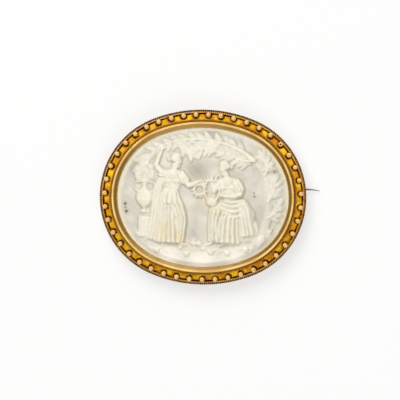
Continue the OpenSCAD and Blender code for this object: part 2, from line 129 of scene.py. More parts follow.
def oval_reach(angle, u):
    """Distance from the centre to the oval in a direction."""
    c, s = np.abs(np.cos(angle)), np.abs(np.sin(angle))
    t = END_X * c + np.sqrt((END_R - u)**2 - (END_X * s)**2)
    top = -SIDE_Y * s + np.sqrt((SIDE_R - u)**2 - (SIDE_Y * c)**2)
    return np.where(t * s * 5 <= (t * c - END_X) * 12, t, top)


# Meshes

def place_object(name, data):
    made = bpy.data.objects.new(name, data)
    bpy.context.scene.collection.objects.link(made)
    return made


def make_mesh(name, points, faces, material, body, stands_for=(), values=None):
    """A piece of points with values held at them."""
    mesh = bpy.data.meshes.new(name)
    mesh.from_pydata((np.asarray(points) * MM).tolist(), [], [list(map(int, f)) for f in faces])
    mesh.validate()
    shape = bmesh.new()
    shape.from_mesh(mesh)
    bmesh.ops.recalc_face_normals(shape, faces=shape.faces)
    shape.to_mesh(mesh)
    shape.free()
    mesh.polygons.foreach_set("use_smooth", np.full(len(mesh.polygons), True))
    for key, row in (values or {}).items():
        layer = mesh.attributes.new(key, "FLOAT", "POINT")
        layer.data.foreach_set("value", np.asarray(row, np.float32))
    mesh.materials.append(material)
    piece = place_object(name, mesh)
    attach(piece, body)
    if stands_for:
        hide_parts(*stands_for)
    return mesh


def circle(steps):
    """Angles at even steps round a turn."""
    return np.arange(steps) / steps * TURN


def ring_faces(rows, columns, close_rows=True):
    """Quads of a grid of points, row after row, closed round."""
    i, j = np.meshgrid(np.arange(rows if close_rows else rows - 1), np.arange(columns), indexing="ij")
    i2, j2 = (i + 1) % rows * columns, (j + 1) % columns
    i = i * columns
    return np.stack([i + j, i2 + j, i2 + j2, i + j2], -1).reshape(-1, 4)


def sweep(profile, steps):
    """Points and faces of a closed profile of rows u, z that is swept round the oval."""
    place, out = rim(np.arange(steps) / steps)
    points = np.empty((steps, len(profile), 3))
    points[..., :2] = place[:, None] - out[:, None] * profile[None, :, :1]
    points[..., 2] = profile[None, :, 1]
    return points.reshape(-1, 3), ring_faces(steps, len(profile))


def round_corners(corners, radius, steps=3):
    """Closed profile, its corners rounded as far as its sides leave room."""
    corners = np.asarray(corners, float)
    made = []
    for k, p in enumerate(corners):
        a, b = corners[k - 1] - p, corners[(k + 1) % len(corners)] - p
        long_a, long_b = np.linalg.norm(a), np.linalg.norm(b)
        cut = min(radius, 0.45 * long_a, 0.45 * long_b)
        a, b = p + a / long_a * cut, p + b / long_b * cut
        for t in np.linspace(0, 1, steps + 1):
            made.append((1 - t)**2 * a + 2 * t * (1 - t) * p + t * t * b)
    return np.array(made)


# Materials

def srgb(red, green, blue):
    """Linear values of a colour given as 0 to 255 per channel."""
    share = [c / 255 for c in (red, green, blue)]
    return [c / 12.92 if c <= 0.04045 else ((c + 0.055) / 1.055)**2.4 for c in share] + [1]


class Nodes:
    """A tree of nodes. A socket, by name or as i0, i1 and so on, is fed a value or another socket."""

    def __init__(self, tree):
        self.tree = tree

    def add(self, kind, options=None, **feeds):
        made = self.tree.nodes.new(kind)
        for key, value in (options or {}).items():
            setattr(made, key, value)
        self.feed(made, **feeds)
        return made.outputs

    def feed(self, target, **feeds):
        for key, value in feeds.items():
            socket = target.inputs[int(key[1:]) if key[1:].isdigit() else key.replace("_", " ")]
            if isinstance(value, bpy.types.NodeSocket):
                self.tree.links.new(value, socket)
            else:
                socket.default_value = value

    def span(self, value, low, high, to_low=0, to_high=1):
        """Value taken from one range to another, held at its ends."""
        return self.add("ShaderNodeMapRange", {"interpolation_type": "SMOOTHSTEP"}, Value=value,
                        From_Min=low, From_Max=high, To_Min=to_low, To_Max=to_high)[0]

    def math(self, operation, a, b=0):
        return self.add("ShaderNodeMath", {"operation": operation}, i0=a, i1=b)[0]

    def vector(self, operation, a, b=(0, 0, 0)):
        return self.add("ShaderNodeVectorMath", {"operation": operation}, i0=a, i1=b)

    def mix(self, share, a, b):
        """Colour a turned towards colour b."""
        return self.add("ShaderNodeMix", {"data_type": "RGBA"}, i0=share, i6=a, i7=b)[2]


class Shader(Nodes):
    """A node material."""

    def __init__(self, name, **feeds):
        self.material = bpy.data.materials.new(name)
        self.material.use_nodes = True
        super().__init__(self.material.node_tree)
        self.surface = self.tree.nodes["Principled BSDF"]
        self.place = self.add("ShaderNodeTexCoord")["Object"]
        self.feed(self.surface, **feeds)

    def noise(self, size, detail=3, rough=0.55):
        """Noise whose patches are about size millimetres across."""
        return self.add("ShaderNodeTexNoise", Vector=self.place, Scale=1 / (size * MM), Detail=detail,
                        Roughness=rough)[0]

    def value(self, name):
        """A value that the mesh holds at its points."""
        return self.add("ShaderNodeAttribute", {"attribute_name": name})["Fac"]

    def bump(self, height, depth, strength):
        """Relief of the surface, depth millimetres deep."""
        return self.add("ShaderNodeBump", Height=height, Strength=strength, Distance=depth * MM)[0]


def gold(name, light, dark, rough, painted_shade_and_darkening=None, patch=2.5, grain=0.12, depth=0.012, metal=1,
         edge=(255, 255, 255), plain=None):
    """Gold that drifts from light to dark. The mesh says where shade and other darkening are painted on
    it, and where it is plain.
    """
    s = Shader(name, Metallic=metal, Specular_Tint=srgb(*edge))
    drift = s.span(s.noise(patch), 0.32, 0.68)
    colour = s.mix(drift, srgb(*light), srgb(*dark))
    if plain:
        colour = s.mix(s.value("plain"), colour, srgb(*plain))
    fine = s.noise(grain, 4, 0.6)
    dull = s.math("ADD", s.math("MULTIPLY", drift, 0.4), s.math("MULTIPLY", fine, 0.6))
    shine = s.span(dull, 0.25, 0.75, *rough)
    # Painted shade and darkening from the mesh, broken up by noise, darken the colour and dull the shine
    if painted_shade_and_darkening:
        shade_level = s.math("MULTIPLY", s.value("painted_shade_and_darkening"), s.span(s.noise(0.5), 0.35, 0.65, 0.6, 1.4))
        colour = s.mix(shade_level, colour, srgb(*painted_shade_and_darkening))
        shine = s.math("ADD", shine, s.math("MULTIPLY", shade_level, 0.3))
    s.feed(s.surface, Base_Color=colour, Roughness=shine, Normal=s.bump(fine, depth, 0.5))
    return s.material


def shell_material():
    """Shell, cream where it is thick and greyer where the ground is thin, with painted shade in the
    recesses, a painted reflection of the gold by the bezel and painted light on the bottom margin.
    """
    s = Shader("shell", IOR=1.5, Subsurface_Weight=0.22, Subsurface_Scale=1, Coat_Weight=0.15,
               Subsurface_Radius=(0.9 * MM, 0.75 * MM, 0.55 * MM), Coat_Roughness=0.25)
    ground = s.mix(s.span(s.noise(5), 0.35, 0.65), srgb(192, 189, 179), srgb(211, 208, 197))
    ground = s.mix(s.value("thin"), ground, srgb(166, 160, 149))
    raised = s.mix(s.span(s.noise(1.4, 4), 0.35, 0.7), srgb(225, 223, 210), srgb(218, 215, 199))
    colour = s.mix(s.span(s.value("carving"), 0.05, 0.9), ground, raised)
    # Painted shade in the recesses, broken up by noise
    hollow = s.math("MULTIPLY", s.value("recess"), s.span(s.noise(3, 2), 0.4, 0.6, 0.15, 0.8))
    wave = s.add("ShaderNodeTexWave", {"wave_type": "BANDS", "bands_direction": "DIAGONAL"},
                 Vector=s.place, Scale=0.28 / MM, Distortion=6, Detail=3, Detail_Scale=1.2)
    growth = s.span(wave["Fac"], 0.3, 1, 0, 0.1)
    # Tints laid over the colour. The warm one is partly a painted reflection of the gold bezel, and the
    # pale one partly painted light on the bottom margin
    for share, tint in (
        (s.value("rim"), (220, 220, 208)), (hollow, (206, 192, 156)), (s.value("warm_and_painted_reflection"), (222, 206, 166)),
        (s.value("pale"), (252, 246, 236)), (s.value("stain"), (112, 100, 66)),
        (s.value("speck"), (40, 28, 8)), (growth, (216, 204, 184))
    ):
        colour = s.mix(share, colour, srgb(*tint))
    tooling = s.noise(0.09, 3, 0.6)
    s.feed(s.surface, Base_Color=colour, Roughness=s.span(tooling, 0.3, 0.7, 0.3, 0.5),
           Normal=s.bump(tooling, 0.01, 0.4))
    return s.material


# The fourth colour of a gold is the colour of its painted shade and darkening
GOLD_CHANNEL = gold("gold_channel", (255, 197, 42), (234, 154, 38), (0.3, 0.46), (84, 30, 6),
                    depth=0.03, plain=(232, 186, 112))
GOLD_BALLS = gold("gold_balls", (255, 219, 150), (255, 202, 124), (0.36, 0.5), (120, 56, 10),
                  patch=1.2, metal=0.32)
GOLD_WIRE = gold("gold_wire", (255, 212, 96), (246, 184, 74), (0.3, 0.45), (66, 36, 4),
                 patch=1.6, edge=(196, 134, 40))
GOLD_INNER_WIRE = gold("gold_inner_wire", (255, 216, 112), (248, 192, 84), (0.26, 0.42), (148, 88, 20),
                       patch=1.6)
GOLD_BEZEL = gold("gold_bezel", (240, 200, 128), (228, 182, 106), (0.26, 0.38), (120, 84, 34),
                  patch=6, grain=0.2, depth=0.01)
GOLD_FITTING = gold("gold_fitting", (236, 196, 122), (206, 160, 92), (0.24, 0.4))
PIN_METAL = gold("pin_metal", (152, 146, 122), (118, 111, 88), (0.2, 0.36), patch=3)
SHELL = shell_material()


# Relief: heights of the carving over the shell's ground, on an even grid, raised stroke by stroke

GRID = 0.14
ACROSS, UP = (np.arange(-a, a + GRID / 2, GRID) for a in
              np.ceil(np.array([HALF_W - SHELL_U, HALF_H - SHELL_U]) / GRID + 1) * GRID)
GRID_X, GRID_Y = np.meshgrid(ACROSS, UP)
relief = np.zeros(GRID_X.shape)


def near(low, high):
    """Part of the grid between two corners, and its points."""
    i0, i1 = np.searchsorted(ACROSS, [low[0], high[0]])
    j0, j1 = np.searchsorted(UP, [low[1], high[1]])
    part = slice(max(j0 - 1, 0), j1 + 1), slice(max(i0 - 1, 0), i1 + 1)
    return part, GRID_X[part], GRID_Y[part]


def raise_to(part, height, inside, blend, cover=0):
    """Bring the part up to a height, blending where the two meet. It hides what stands up to cover
    millimetres higher than itself."""
    old = relief[part]
    behind = np.where(inside, old - cover, old)
    meet = np.maximum(blend - np.abs(behind - height), 0)**2 / (4 * blend)
    relief[part] = np.where(inside, np.maximum(behind, height) + meet, old)


def smooth(points, n=10):
    """Smooth curve through points, with all their columns."""
    p = np.array(points, float)
    if len(p) == 2:
        return p[0] + (p[1] - p[0]) * np.linspace(0, 1, n)[:, None]
    q = np.vstack([2 * p[0] - p[1], p, 2 * p[-1] - p[-2]])
    t = np.linspace(0, 1, n, endpoint=False)[:, None]
    made = []
    for a, b, c, d in zip(q[:-3], q[1:-2], q[2:-1], q[3:]):
        square, cube = 2 * a - 5 * b + 4 * c - d, 3 * b - a - 3 * c + d
        made.append(0.5 * (2 * b + (c - a) * t + square * t**2 + cube * t**3))
    return np.vstack(made + [p[-1:]])


def along(line, flat=False, spare=0):
    """Part of the grid near a line of rows x, y, half width, level, and for its points the share
    across (signed), the share along, the half width, the level and the distance past a flat end."""
    reach = line[:, 2].max() + spare
    part, X, Y = near(line[:, :2].min(0) - reach, line[:, :2].max(0) + reach)
    best = np.full(X.shape, 1e9)
    found = np.zeros((4, *X.shape))
    step = np.hypot(*np.diff(line[:, :2], axis=0).T)
    length = np.concatenate([[0], np.cumsum(step)])
    for k, (a, b) in enumerate(zip(line[:-1], line[1:])):
        d = b[:2] - a[:2]
        x, y = X - a[0], Y - a[1]
        u = np.clip((x * d[0] + y * d[1]) / max(d @ d, 1e-9), 0, 1)
        r = a[2] + (b[2] - a[2]) * u
        rank = np.hypot(x - u * d[0], y - u * d[1]) / r
        side = np.where(d[0] * y - d[1] * x < 0, -1, 1)
        share = (length[k] + step[k] * u) / length[-1]
        found = np.where(rank < best, [rank * side, share, r, a[3] + (b[3] - a[3]) * u], found)
        best = np.minimum(rank, best)
    across, share, wide, level = found
    past = np.zeros(X.shape)
    if flat:
        for end, before, share_there, side in ((line[0], line[1], 0, -1), (line[-1], line[-2], 1, 1)):
            d = (end - before)[:2] / np.hypot(*(end - before)[:2])
            x, y = X - end[0], Y - end[1]
            ahead = x * d[0] + y * d[1]
            beyond = (ahead > 0) & (np.abs(share - share_there) < 0.2)
            across = np.where(beyond, side * (d[0] * y - d[1] * x) / end[2], across)
            past = np.where(beyond, ahead, past)
    return part, across, share, wide, level, past


def wall(gap, run):
    """Wall of a carved form, from 0 at its edge to 1 a run inside."""
    e = np.clip(gap / run, 0, 1)
    return e * e * (3 - 2 * e)


def limb(points, bulge=0.5, run=0.22, blend=0.12, n=10, cover=0):
    """Round form along a line of rows x, y, half width, level."""
    part, q, _, r, level, _ = along(smooth(points, n))
    edge = wall((1 - np.abs(q)) * r, np.minimum(run, 0.6 * r))
    height = level * edge + bulge * r * np.sqrt(np.clip(1 - q * q, 0, 1))
    raise_to(part, height, np.abs(q) < 1, blend, cover)


def limbs(*table):
    for points in table:
        limb(points)


def drape(points, folds, deep=0.3, bulge=0.35, run=0.25, blend=0.08, hem=0, waves=6, flat=True,
          cover=0):
    """Cloth along a line of rows x, y, half width, level. Columns of the folds: shares across at the
    start and at the end, width, and for a short one the shares along where it runs."""
    part, q, t, r, level, past = along(smooth(points), flat, 0.5)
    hem_line = hem * (0.5 + 0.5 * np.cos(q * pi * waves))
    inside = (np.abs(q) < 1) & (past < 0.05 + hem_line)
    fold = np.zeros(q.shape)
    for start, end, width, *run_of in folds:
        t0, t1 = run_of or (0, 1)
        aside = np.abs(q - (start + (end - start) * t)) / width
        ridge = np.cos(pi / 2 * np.clip(aside, 0, 1))**1.5
        ridge *= np.clip((t - t0) / 0.1 + (t0 <= 0), 0, 1) * np.clip((t1 - t) / 0.1 + (t1 >= 1), 0, 1)
        fold = np.maximum(fold, ridge)
    round_top = np.sqrt(np.clip(1 - q * q, 0, 1))
    height = level + bulge * r * round_top + deep * (0.6 + 0.4 * t) * (fold - 0.4)
    height = height * wall((1 - np.abs(q)) * r, run) * wall(0.07 + hem_line - past, 0.16)
    raise_to(part, height, inside, blend, cover)


def spread(count, width, seed, start=(-0.75, 0.75), end=(-0.85, 0.85)):
    """Folds spread between shares across at the start and at the end."""
    rng = np.random.default_rng(seed)
    rows = []
    for s in (np.arange(count) + 0.5) / count:
        rows.append([a + (b - a) * s + rng.normal(0, 0.03) for a, b in (start, end)]
                    + [width * rng.uniform(0.8, 1.25)])
    return rows


def mass(x, y, rx, ry, turn, base, top, run=0.22, blend=0.12, cover=0):
    """Rounded form over an ellipse."""
    c, s = cos(turn), sin(turn)
    reach = max(rx, ry)
    part, X, Y = near((x - reach, y - reach), (x + reach, y + reach))
    X, Y = X - x, Y - y
    d2 = ((X * c + Y * s) / rx)**2 + ((Y * c - X * s) / ry)**2
    edge = wall((1 - np.sqrt(d2)) * min(rx, ry), run)
    raise_to(part, base * edge + top * np.sqrt(np.clip(1 - d2, 0, 1)), d2 < 1, blend, cover)


def dent(x, y, r, deep):
    part, X, Y = near((x - 3 * r, y - 3 * r), (x + 3 * r, y + 3 * r))
    relief[part] -= deep * np.exp(-((X - x)**2 + (Y - y)**2) / (r * r)) * (relief[part] > deep)


def leaf(x, y, angle, length, width, level, curl=0.12):
    """Pointed leaf with a groove along its middle."""
    c, s, t = cos(angle), sin(angle), np.linspace(0, 1, 7)
    bow = curl * length * 2 * t * (1 - t)
    half = np.maximum(width * np.sin(pi * (0.06 + 0.9 * t))**0.75, 0.03)
    rows = np.stack([x + c * length * t - s * bow, y + s * length * t + c * bow, half,
                     level * (1 - 0.35 * t)], -1)
    part, q, _, r, level, _ = along(rows)
    height = level * wall((1 - np.abs(q)) * r, 0.12) + 0.22 * width * (1 - q * q)
    raise_to(part, height - 0.07 * np.exp(-(q / 0.2)**2), np.abs(q) < 1, 0.04)


def rosette(x, y, r, level):
    for a in circle(5) + 0.35:
        mass(x + 0.55 * r * cos(a), y + 0.55 * r * sin(a), 0.5 * r, 0.36 * r, a, level,
             0.22 * r, 0.1, 0.02)
    mass(x, y, 0.26 * r, 0.26 * r, 0, level + 0.14, 0.2 * r, 0.08, 0.02)


# Carved scene: two women in classical dress under a laurel bough, one standing with a wreath, one
# seated with a lyre

# Waves of hair. Columns: places at the brow, over the ear and behind, half width
HAIR = [
    ((0.22, 0.86), (0, 0.93), (-0.25, 0.85), 0.05), ((0.25, 0.80), (0.02, 0.86), (-0.24, 0.77), 0.05),
    ((0.25, 0.73), (0.04, 0.75), (-0.22, 0.66), 0.05), ((0.22, 0.66), (0.04, 0.65), (-0.2, 0.57), 0.048),
    ((0.15, 0.60), (0, 0.56), (-0.18, 0.48), 0.045), ((0.06, 0.52), (-0.06, 0.46), (-0.2, 0.40), 0.04)
]
# Level of a head over the ground
HEAD = 0.6


def head(x, y, size, face, nod):
    """A head. In shares of its height, u is forward from the ear and v up from the chin."""
    nod = radians(nod)
    c, s = cos(nod), sin(nod)

    def at(u, v):
        v = v - 0.5
        return x + face * size * (c * u + s * v), y + size * (c * v - s * u)

    def form(u, v, ru, rv, turn, base, top, run=0.1, blend=0.05):
        mass(*at(u, v), ru * size, rv * size, face * (radians(turn) - nod), HEAD + base * size,
             top * size, run * size, blend * size)

    def line(rows, base, bulge=0.8, run=0.04, blend=0.03):
        limb([(*at(u, v), r * size, HEAD + (base + sum(extra)) * size) for u, v, r, *extra in rows],
             bulge, run * size, blend * size)

    # Skull, face, cheek and jaw
    form(-0.06, 0.62, 0.37, 0.33, 8, -0.02, 0.2, 0.12)
    form(0.1, 0.44, 0.22, 0.34, 6, 0, 0.14, 0.1)
    line([(0, 0.26, 0.13), (0.12, 0.15, 0.12), (0.21, 0.09, 0.08)], 0.02, 0.7, blend=0.1)
    form(0.12, 0.34, 0.16, 0.2, 0, 0.08, 0.1, 0.14, 0.1)
    # Brow, nose, lips and chin
    line([(0.265, 0.68, 0.05), (0.295, 0.58, 0.034), (0.325, 0.49, 0.032, 0.02),
          (0.36, 0.405, 0.038, 0.03)], 0.06, blend=0.06)
    line([(0.28, 0.39, 0.035), (0.335, 0.385, 0.028)], 0.08, blend=0.04)
    line([(0.25, 0.305, 0.024), (0.302, 0.306, 0.026)], 0.11)
    line([(0.25, 0.258, 0.022), (0.292, 0.256, 0.026)], 0.11)
    form(0.245, 0.14, 0.075, 0.07, 0, 0.06, 0.07, 0.06, 0.06)
    # Eye and eyebrow
    dent(*at(0.225, 0.52), 0.07 * size, 0.04 * size)
    form(0.222, 0.525, 0.045, 0.03, 0, 0.15, 0.04, 0.03, 0.02)
    line([(0.17, 0.57, 0.018), (0.23, 0.575, 0.02), (0.27, 0.545, 0.016)], 0.18, blend=0.01)
    # Hair swept back to a knot, and two bands
    for front, middle, back, r in HAIR:
        line([(*front, r * 0.8, -0.03), (*middle, r, 0.06), (*back, r, 0.02),
              (-0.43, 0.5, r * 0.8, -0.04)], 0.1, 0.9, 0.03, 0.015)
    line([(0.19, 0.9, 0.03), (0, 0.985, 0.03, 0.02), (-0.22, 0.93, 0.03), (-0.4, 0.74, 0.03, -0.03)],
         0.1, 0.9, blend=0.02)
    line([(0.255, 0.78, 0.03), (-0.02, 0.79, 0.032, 0.12), (-0.3, 0.68, 0.032, 0.06),
          (-0.42, 0.6, 0.03)], 0.12, 0.9, blend=0.02)
    for degrees in range(0, 360, 60):
        a = radians(degrees)
        form(-0.5 + 0.085 * cos(a), 0.47 + 0.085 * sin(a), 0.08, 0.055, degrees + 60, 0.03,
             0.06, 0.05, 0.02)
    form(-0.5, 0.47, 0.06, 0.06, 0, 0.1, 0.06, 0.05, 0.02)
    # Ear
    line([(-0.035, 0.50, 0.032), (-0.05, 0.42, 0.026)], 0.2, blend=0.02)


def hand(x, y, angle, size, level, splay=16):
    """Palm, thumb and four fingers that point along an angle in degrees."""
    a = radians(angle)

    def at(out, turn=0, aside=0):
        b = a + turn
        return (x + out * cos(b) * size - sin(a) * aside * size,
                y + out * sin(b) * size + cos(a) * aside * size)

    limb([(x, y, 0.4 * size, level), (*at(0.5), 0.4 * size, level)], blend=0.08)
    for k in (-1.5, -0.5, 0.5, 1.5):
        b = a + radians(k * splay)
        root = at(0.55, 0, k * 0.2)
        rows = [(*root, 0.13 * size, level + 0.05)]
        for out, bend, r, lift in ((0.4, 0, 0.12, 0.04), (0.8, -0.2, 0.09, 0)):
            rows.append((root[0] + out * cos(b + bend) * size,
                         root[1] + out * sin(b + bend) * size, r * size, level + lift))
        limb(rows, 0.9, 0.08, 0.02, 5)
    limb([(*at(0.2), 0.15 * size, level + 0.08), (*at(0.7, 0.9), 0.1 * size, level)], 0.9, 0.08, 0.03, 5)


def torso(neck, shoulders, chest, seed, breasts, neckline):
    """Neck, shoulders, chest and neckline, whose columns are x, y, fall a fold, half width, level."""
    limb(neck, 0.6, blend=0.3)
    limb(shoulders, 0.5, blend=0.4)
    drape(chest, spread(6, 0.2, seed, end=(-0.7, 0.7)), 0.22, 0.44, blend=0.3)
    for (x, y, rx, ry), base, top in zip(breasts, (0.62, 0.58), (0.52, 0.48)):
        mass(x, y, rx, ry, 0, base, top, 0.8, 0.5)
    for k, level in enumerate((0.68, 0.78, 0.86)):
        limb([(x, y - fall * k, r, level + extra) for x, y, fall, r, extra in neckline], 0.8, 0.12, 0.12)


def sleeve(points, folds, deep=0.26, hem=0.25):
    drape(points, folds, deep, 0.42, hem=hem, waves=3, cover=0.3)


def standing_woman():
    # Mantle behind her
    drape([(-10.7, 6.4, 1, 0.35), (-12.4, 2.4, 1.5, 0.3), (-12.9, -3, 1.8, 0.28),
           (-13.5, -8.6, 2.1, 0.22), (-14.2, -12, 2.2, 0.18)],
          spread(4, 0.3, 1), 0.42, hem=0.3, waves=4)
    # Skirt, and the bent leg that shows through it
    drape([(-8.7, 2.2, 1.9, 0.4), (-9.1, -0.8, 3, 0.48), (-9.1, -6.5, 3.4, 0.42),
           (-9.2, -12.7, 4.2, 0.32)],
          spread(7, 0.2, 2, (-0.8, 0.75), (-0.9, 0.88)), 0.42, 0.32, hem=0.28)
    drape([(-7.9, -0.4, 2.2, 0.55), (-6.3, -4, 2, 0.8), (-5.5, -6.9, 1.6, 0.88), (-6, -12.3, 1.4, 0.5)],
          [(-0.75, -0.55, 0.26, 0.3, 1), (0.8, 0.5, 0.26, 0.5, 1), (0.2, 0, 0.2, 0.65, 1)],
          0.26, 0.46, 0.6, 0.3, hem=0.2, waves=3, cover=0.5)
    limbs([(-6.3, -12.8, 0.55, 0.55), (-5, -13.3, 0.46, 0.5), (-4.1, -13.5, 0.32, 0.4)],
          [(-10.9, -13, 0.5, 0.35), (-10.1, -13.5, 0.42, 0.35), (-9.4, -13.65, 0.32, 0.3)])
    torso([(-7.7, 8.8, 0.95, 0.45), (-8, 7.5, 0.98, 0.42), (-8.3, 6.4, 1.4, 0.38)],
          [(-10.8, 6.2, 1.15, 0.4), (-8.3, 6.6, 1.25, 0.42), (-5.8, 6.1, 1.15, 0.44)],
          [(-8.3, 6.4, 2.6, 0.4), (-8.4, 4.4, 2.7, 0.5), (-8.6, 1.9, 1.9, 0.55)], 4,
          [(-7.1, 4.5, 1.3, 1.2), (-9.6, 4.5, 1.25, 1.15)],
          [(-10.7, 6.5, 0.35, 0.2, -0.1), (-9.4, 6.4, 0.75, 0.2, 0.08), (-8.35, 6, 0.75, 0.2, 0.1),
           (-7.2, 6.45, 0.75, 0.2, 0.12), (-6, 6.5, 0.35, 0.18, 0)])
    # Fold of the dress over the belt
    drape([(-8.6, 2, 1.95, 0.6), (-8.9, 0.3, 2.7, 0.68), (-9, -1.7, 3.2, 0.62)],
          spread(6, 0.21, 5), 0.34, 0.36, blend=0.1, hem=0.45, waves=4, cover=0.3)
    limb([(-10.4, 2.25, 0.22, 0.8), (-8.6, 1.8, 0.27, 1.05), (-6.8, 2.25, 0.22, 0.85)], 0.9, 0.1, 0.05,
         cover=0.3)
    # Arm that draws the bough down
    limb([(-10.8, 6.3, 1.1, 0.5), (-12.6, 8.2, 0.9, 0.56), (-13.1, 9, 0.82, 0.64)], cover=0.2)
    limb([(-13.1, 8.9, 0.84, 0.64), (-12.4, 11, 0.68, 0.66), (-11.7, 12.4, 0.5, 0.7)], cover=0.4)
    hand(-11.6, 12.7, 72, 1.05, 0.75)
    # Arm that holds out the wreath
    limb([(-5.8, 6, 1.15, 0.62), (-4.4, 4.2, 0.95, 0.8), (-3.7, 3.3, 0.86, 0.88)], cover=0.2)
    limb([(-3.8, 3.3, 0.86, 0.88), (-2.4, 3.75, 0.7, 0.9), (-1.3, 4.35, 0.5, 0.9)], cover=0.3)
    wreath()
    hand(-1, 4.45, 0, 1.05, 0.92)
    sleeve([(-6.1, 7, 0.9, 0.6), (-5.3, 5.5, 1.35, 0.72), (-4.6, 4.3, 1.5, 0.7)],
           spread(4, 0.3, 6, (-0.65, 0.65), (-0.8, 0.8)))
    sleeve([(-10, 7.1, 0.8, 0.6), (-11.1, 6.5, 1.2, 0.7), (-12, 6.9, 1.3, 0.66)],
           spread(3, 0.34, 7, (-0.6, 0.6), (-0.75, 0.75)), 0.24, 0.2)
    head(-7.3, 10.2, 4.3, 1, 8)


def seated_woman():
    # Rock that she sits on
    for oval in ((11.4, -8.6, 3.2, 4.6, 0.15), (14, -9.4, 2.3, 3.6, -0.1), (13.2, -4.6, 1.7, 2.4, 0.4),
                 (15.5, -12.2, 2.4, 1.7, 0), (9, -11.6, 3, 2.4, 0)):
        mass(*oval, 0.3, 0.45, 0.8, 0.05)
    # Far leg and the skirt between the legs
    drape([(8.6, -3.4, 2.6, 0.3), (7.6, -6.5, 3.2, 0.3), (7.3, -12.6, 3.9, 0.22)],
          spread(6, 0.22, 12, (-0.8, 0.8), (-0.9, 0.9)), 0.4, hem=0.28, waves=5)
    limb([(6.6, -12.8, 0.5, 0.35), (5.3, -13.4, 0.42, 0.35), (4.4, -13.55, 0.32, 0.3)])
    # Near thigh, knee and shin
    drape([(10.2, -2.7, 2.6, 0.42), (6.8, -2.9, 2.4, 0.62), (3.9, -3.5, 2, 0.7)],
          [(-0.75, -0.35, 0.24, 0, 0.9), (-0.3, 0.05, 0.2, 0, 0.75), (0.15, 0.4, 0.2, 0, 0.7),
           (0.6, 0.65, 0.2, 0.1, 1)], 0.26, 0.42, 0.5, 0.2, flat=False, cover=0.5)
    drape([(3.7, -3.6, 1.9, 0.72), (3.1, -7.2, 1.6, 0.66), (3.3, -12.2, 1.8, 0.45)],
          [(-0.7, -0.8, 0.26), (0.55, -0.1, 0.22, 0.15, 1), (0.85, 0.6, 0.24)],
          0.28, 0.46, 0.5, 0.2, hem=0.25, waves=3, cover=0.5)
    limb([(2.9, -12.6, 0.55, 0.5), (1.7, -13.2, 0.46, 0.5), (0.8, -13.4, 0.32, 0.4)])
    # Mantle over the thigh and down the rock
    drape([(10.9, -0.8, 1.5, 0.55), (12, -3.6, 2, 0.6), (12.5, -7, 2.2, 0.55), (13, -10.6, 2.5, 0.45)],
          spread(5, 0.25, 15), 0.42, hem=0.35, waves=4, cover=0.4)
    for x, y, end_x, end_y, sag in ((11.2, -0.6, 6, -0.9, 0.5), (11.8, -1.6, 5.4, -1.9, 0.8),
                                    (12.2, -2.8, 5.2, -2.9, 1.1), (12.4, -4.1, 6, -4, 1.3)):
        limb([(x, y, 0.42, 0.85), ((x + end_x) / 2, (y + end_y) / 2 - sag, 0.5, 1),
              (end_x, end_y, 0.26, 0.95)], 0.5, 0.25, 0.15)
    torso([(6.35, 6.9, 0.92, 0.45), (6.8, 5.7, 0.95, 0.42), (7.1, 4.7, 1.4, 0.38)],
          [(4.8, 4.1, 1.1, 0.4), (7.1, 4.7, 1.25, 0.42), (9.5, 4.2, 1.15, 0.44)],
          [(7.1, 4.6, 2.5, 0.4), (7.4, 2.6, 2.6, 0.5), (8.3, -0.7, 2.1, 0.55)], 16,
          [(5.9, 2.8, 1.25, 1.15), (8.4, 2.8, 1.25, 1.15)],
          [(4.8, 4.6, 0.35, 0.18, -0.1), (6, 4.6, 0.75, 0.2, 0.1), (7.1, 4.2, 0.75, 0.2, 0.1),
           (8.2, 4.65, 0.75, 0.2, 0.08), (9.6, 4.6, 0.35, 0.18, 0)])
    limb([(6.1, 0.6, 0.22, 0.85), (7.8, 0.1, 0.27, 1.05), (9.9, 0.4, 0.22, 0.85)], 0.9, 0.1, 0.05)
    # Far arm behind the lyre
    limbs([(4.9, 4, 1, 0.44), (3.7, 2.4, 0.82, 0.46), (3.4, 1.8, 0.74, 0.46)],
          [(3.4, 1.8, 0.74, 0.46), (2.9, 3.5, 0.58, 0.5), (2.8, 4.5, 0.48, 0.55)])
    lyre()
    hand(2.8, 4.8, 100, 0.95, 0.8, 12)
    # Near arm, plucking the strings
    limb([(9.6, 4.1, 1.1, 0.6), (10.6, 1.9, 0.94, 0.76), (10.7, 1, 0.86, 0.86)], cover=0.3)
    limb([(10.7, 1.1, 0.86, 0.86), (8.6, 0.4, 0.7, 0.96), (6.4, 0.5, 0.5, 0.98)], cover=0.4)
    hand(6.1, 0.55, 172, 1.05, 1, 14)
    sleeve([(9.3, 5, 1, 0.6), (10.2, 3.3, 1.4, 0.72), (10.6, 1.9, 1.5, 0.7)],
           spread(4, 0.3, 17, (-0.65, 0.65), (-0.8, 0.8)))
    head(6, 8.2, 4.2, -1, 12)


def lyre():
    x = 2.8
    mass(x, -1.2, 1.75, 1.45, 0, 0.76, 0.34, 0.3, cover=0.4)
    for side in (-1, 1):
        limb([(x + 1.25 * side, -0.6, 0.5, 0.8), (x + 2.1 * side, 1.4, 0.42, 0.78),
              (x + 1.9 * side, 3.4, 0.36, 0.76), (x + side, 4.9, 0.3, 0.76),
              (x + 1.5 * side, 6, 0.34, 0.76)], 0.8, blend=0.06, cover=0.4)
    limb([(0.9, 4.7, 0.3, 0.88), (4.7, 4.7, 0.3, 0.88)], 0.8, blend=0.05, cover=0.4)
    for string in (2.05, 2.55, 3.05, 3.55):
        limb([(string, -0.7, 0.12, 0.66), (string, 4.6, 0.12, 0.66)], 0.9, 0.06, 0.02)
    limb([(1.9, -1.1, 0.2, 1.1), (3.7, -1.1, 0.2, 1.1)], 0.8, 0.08, 0.03)


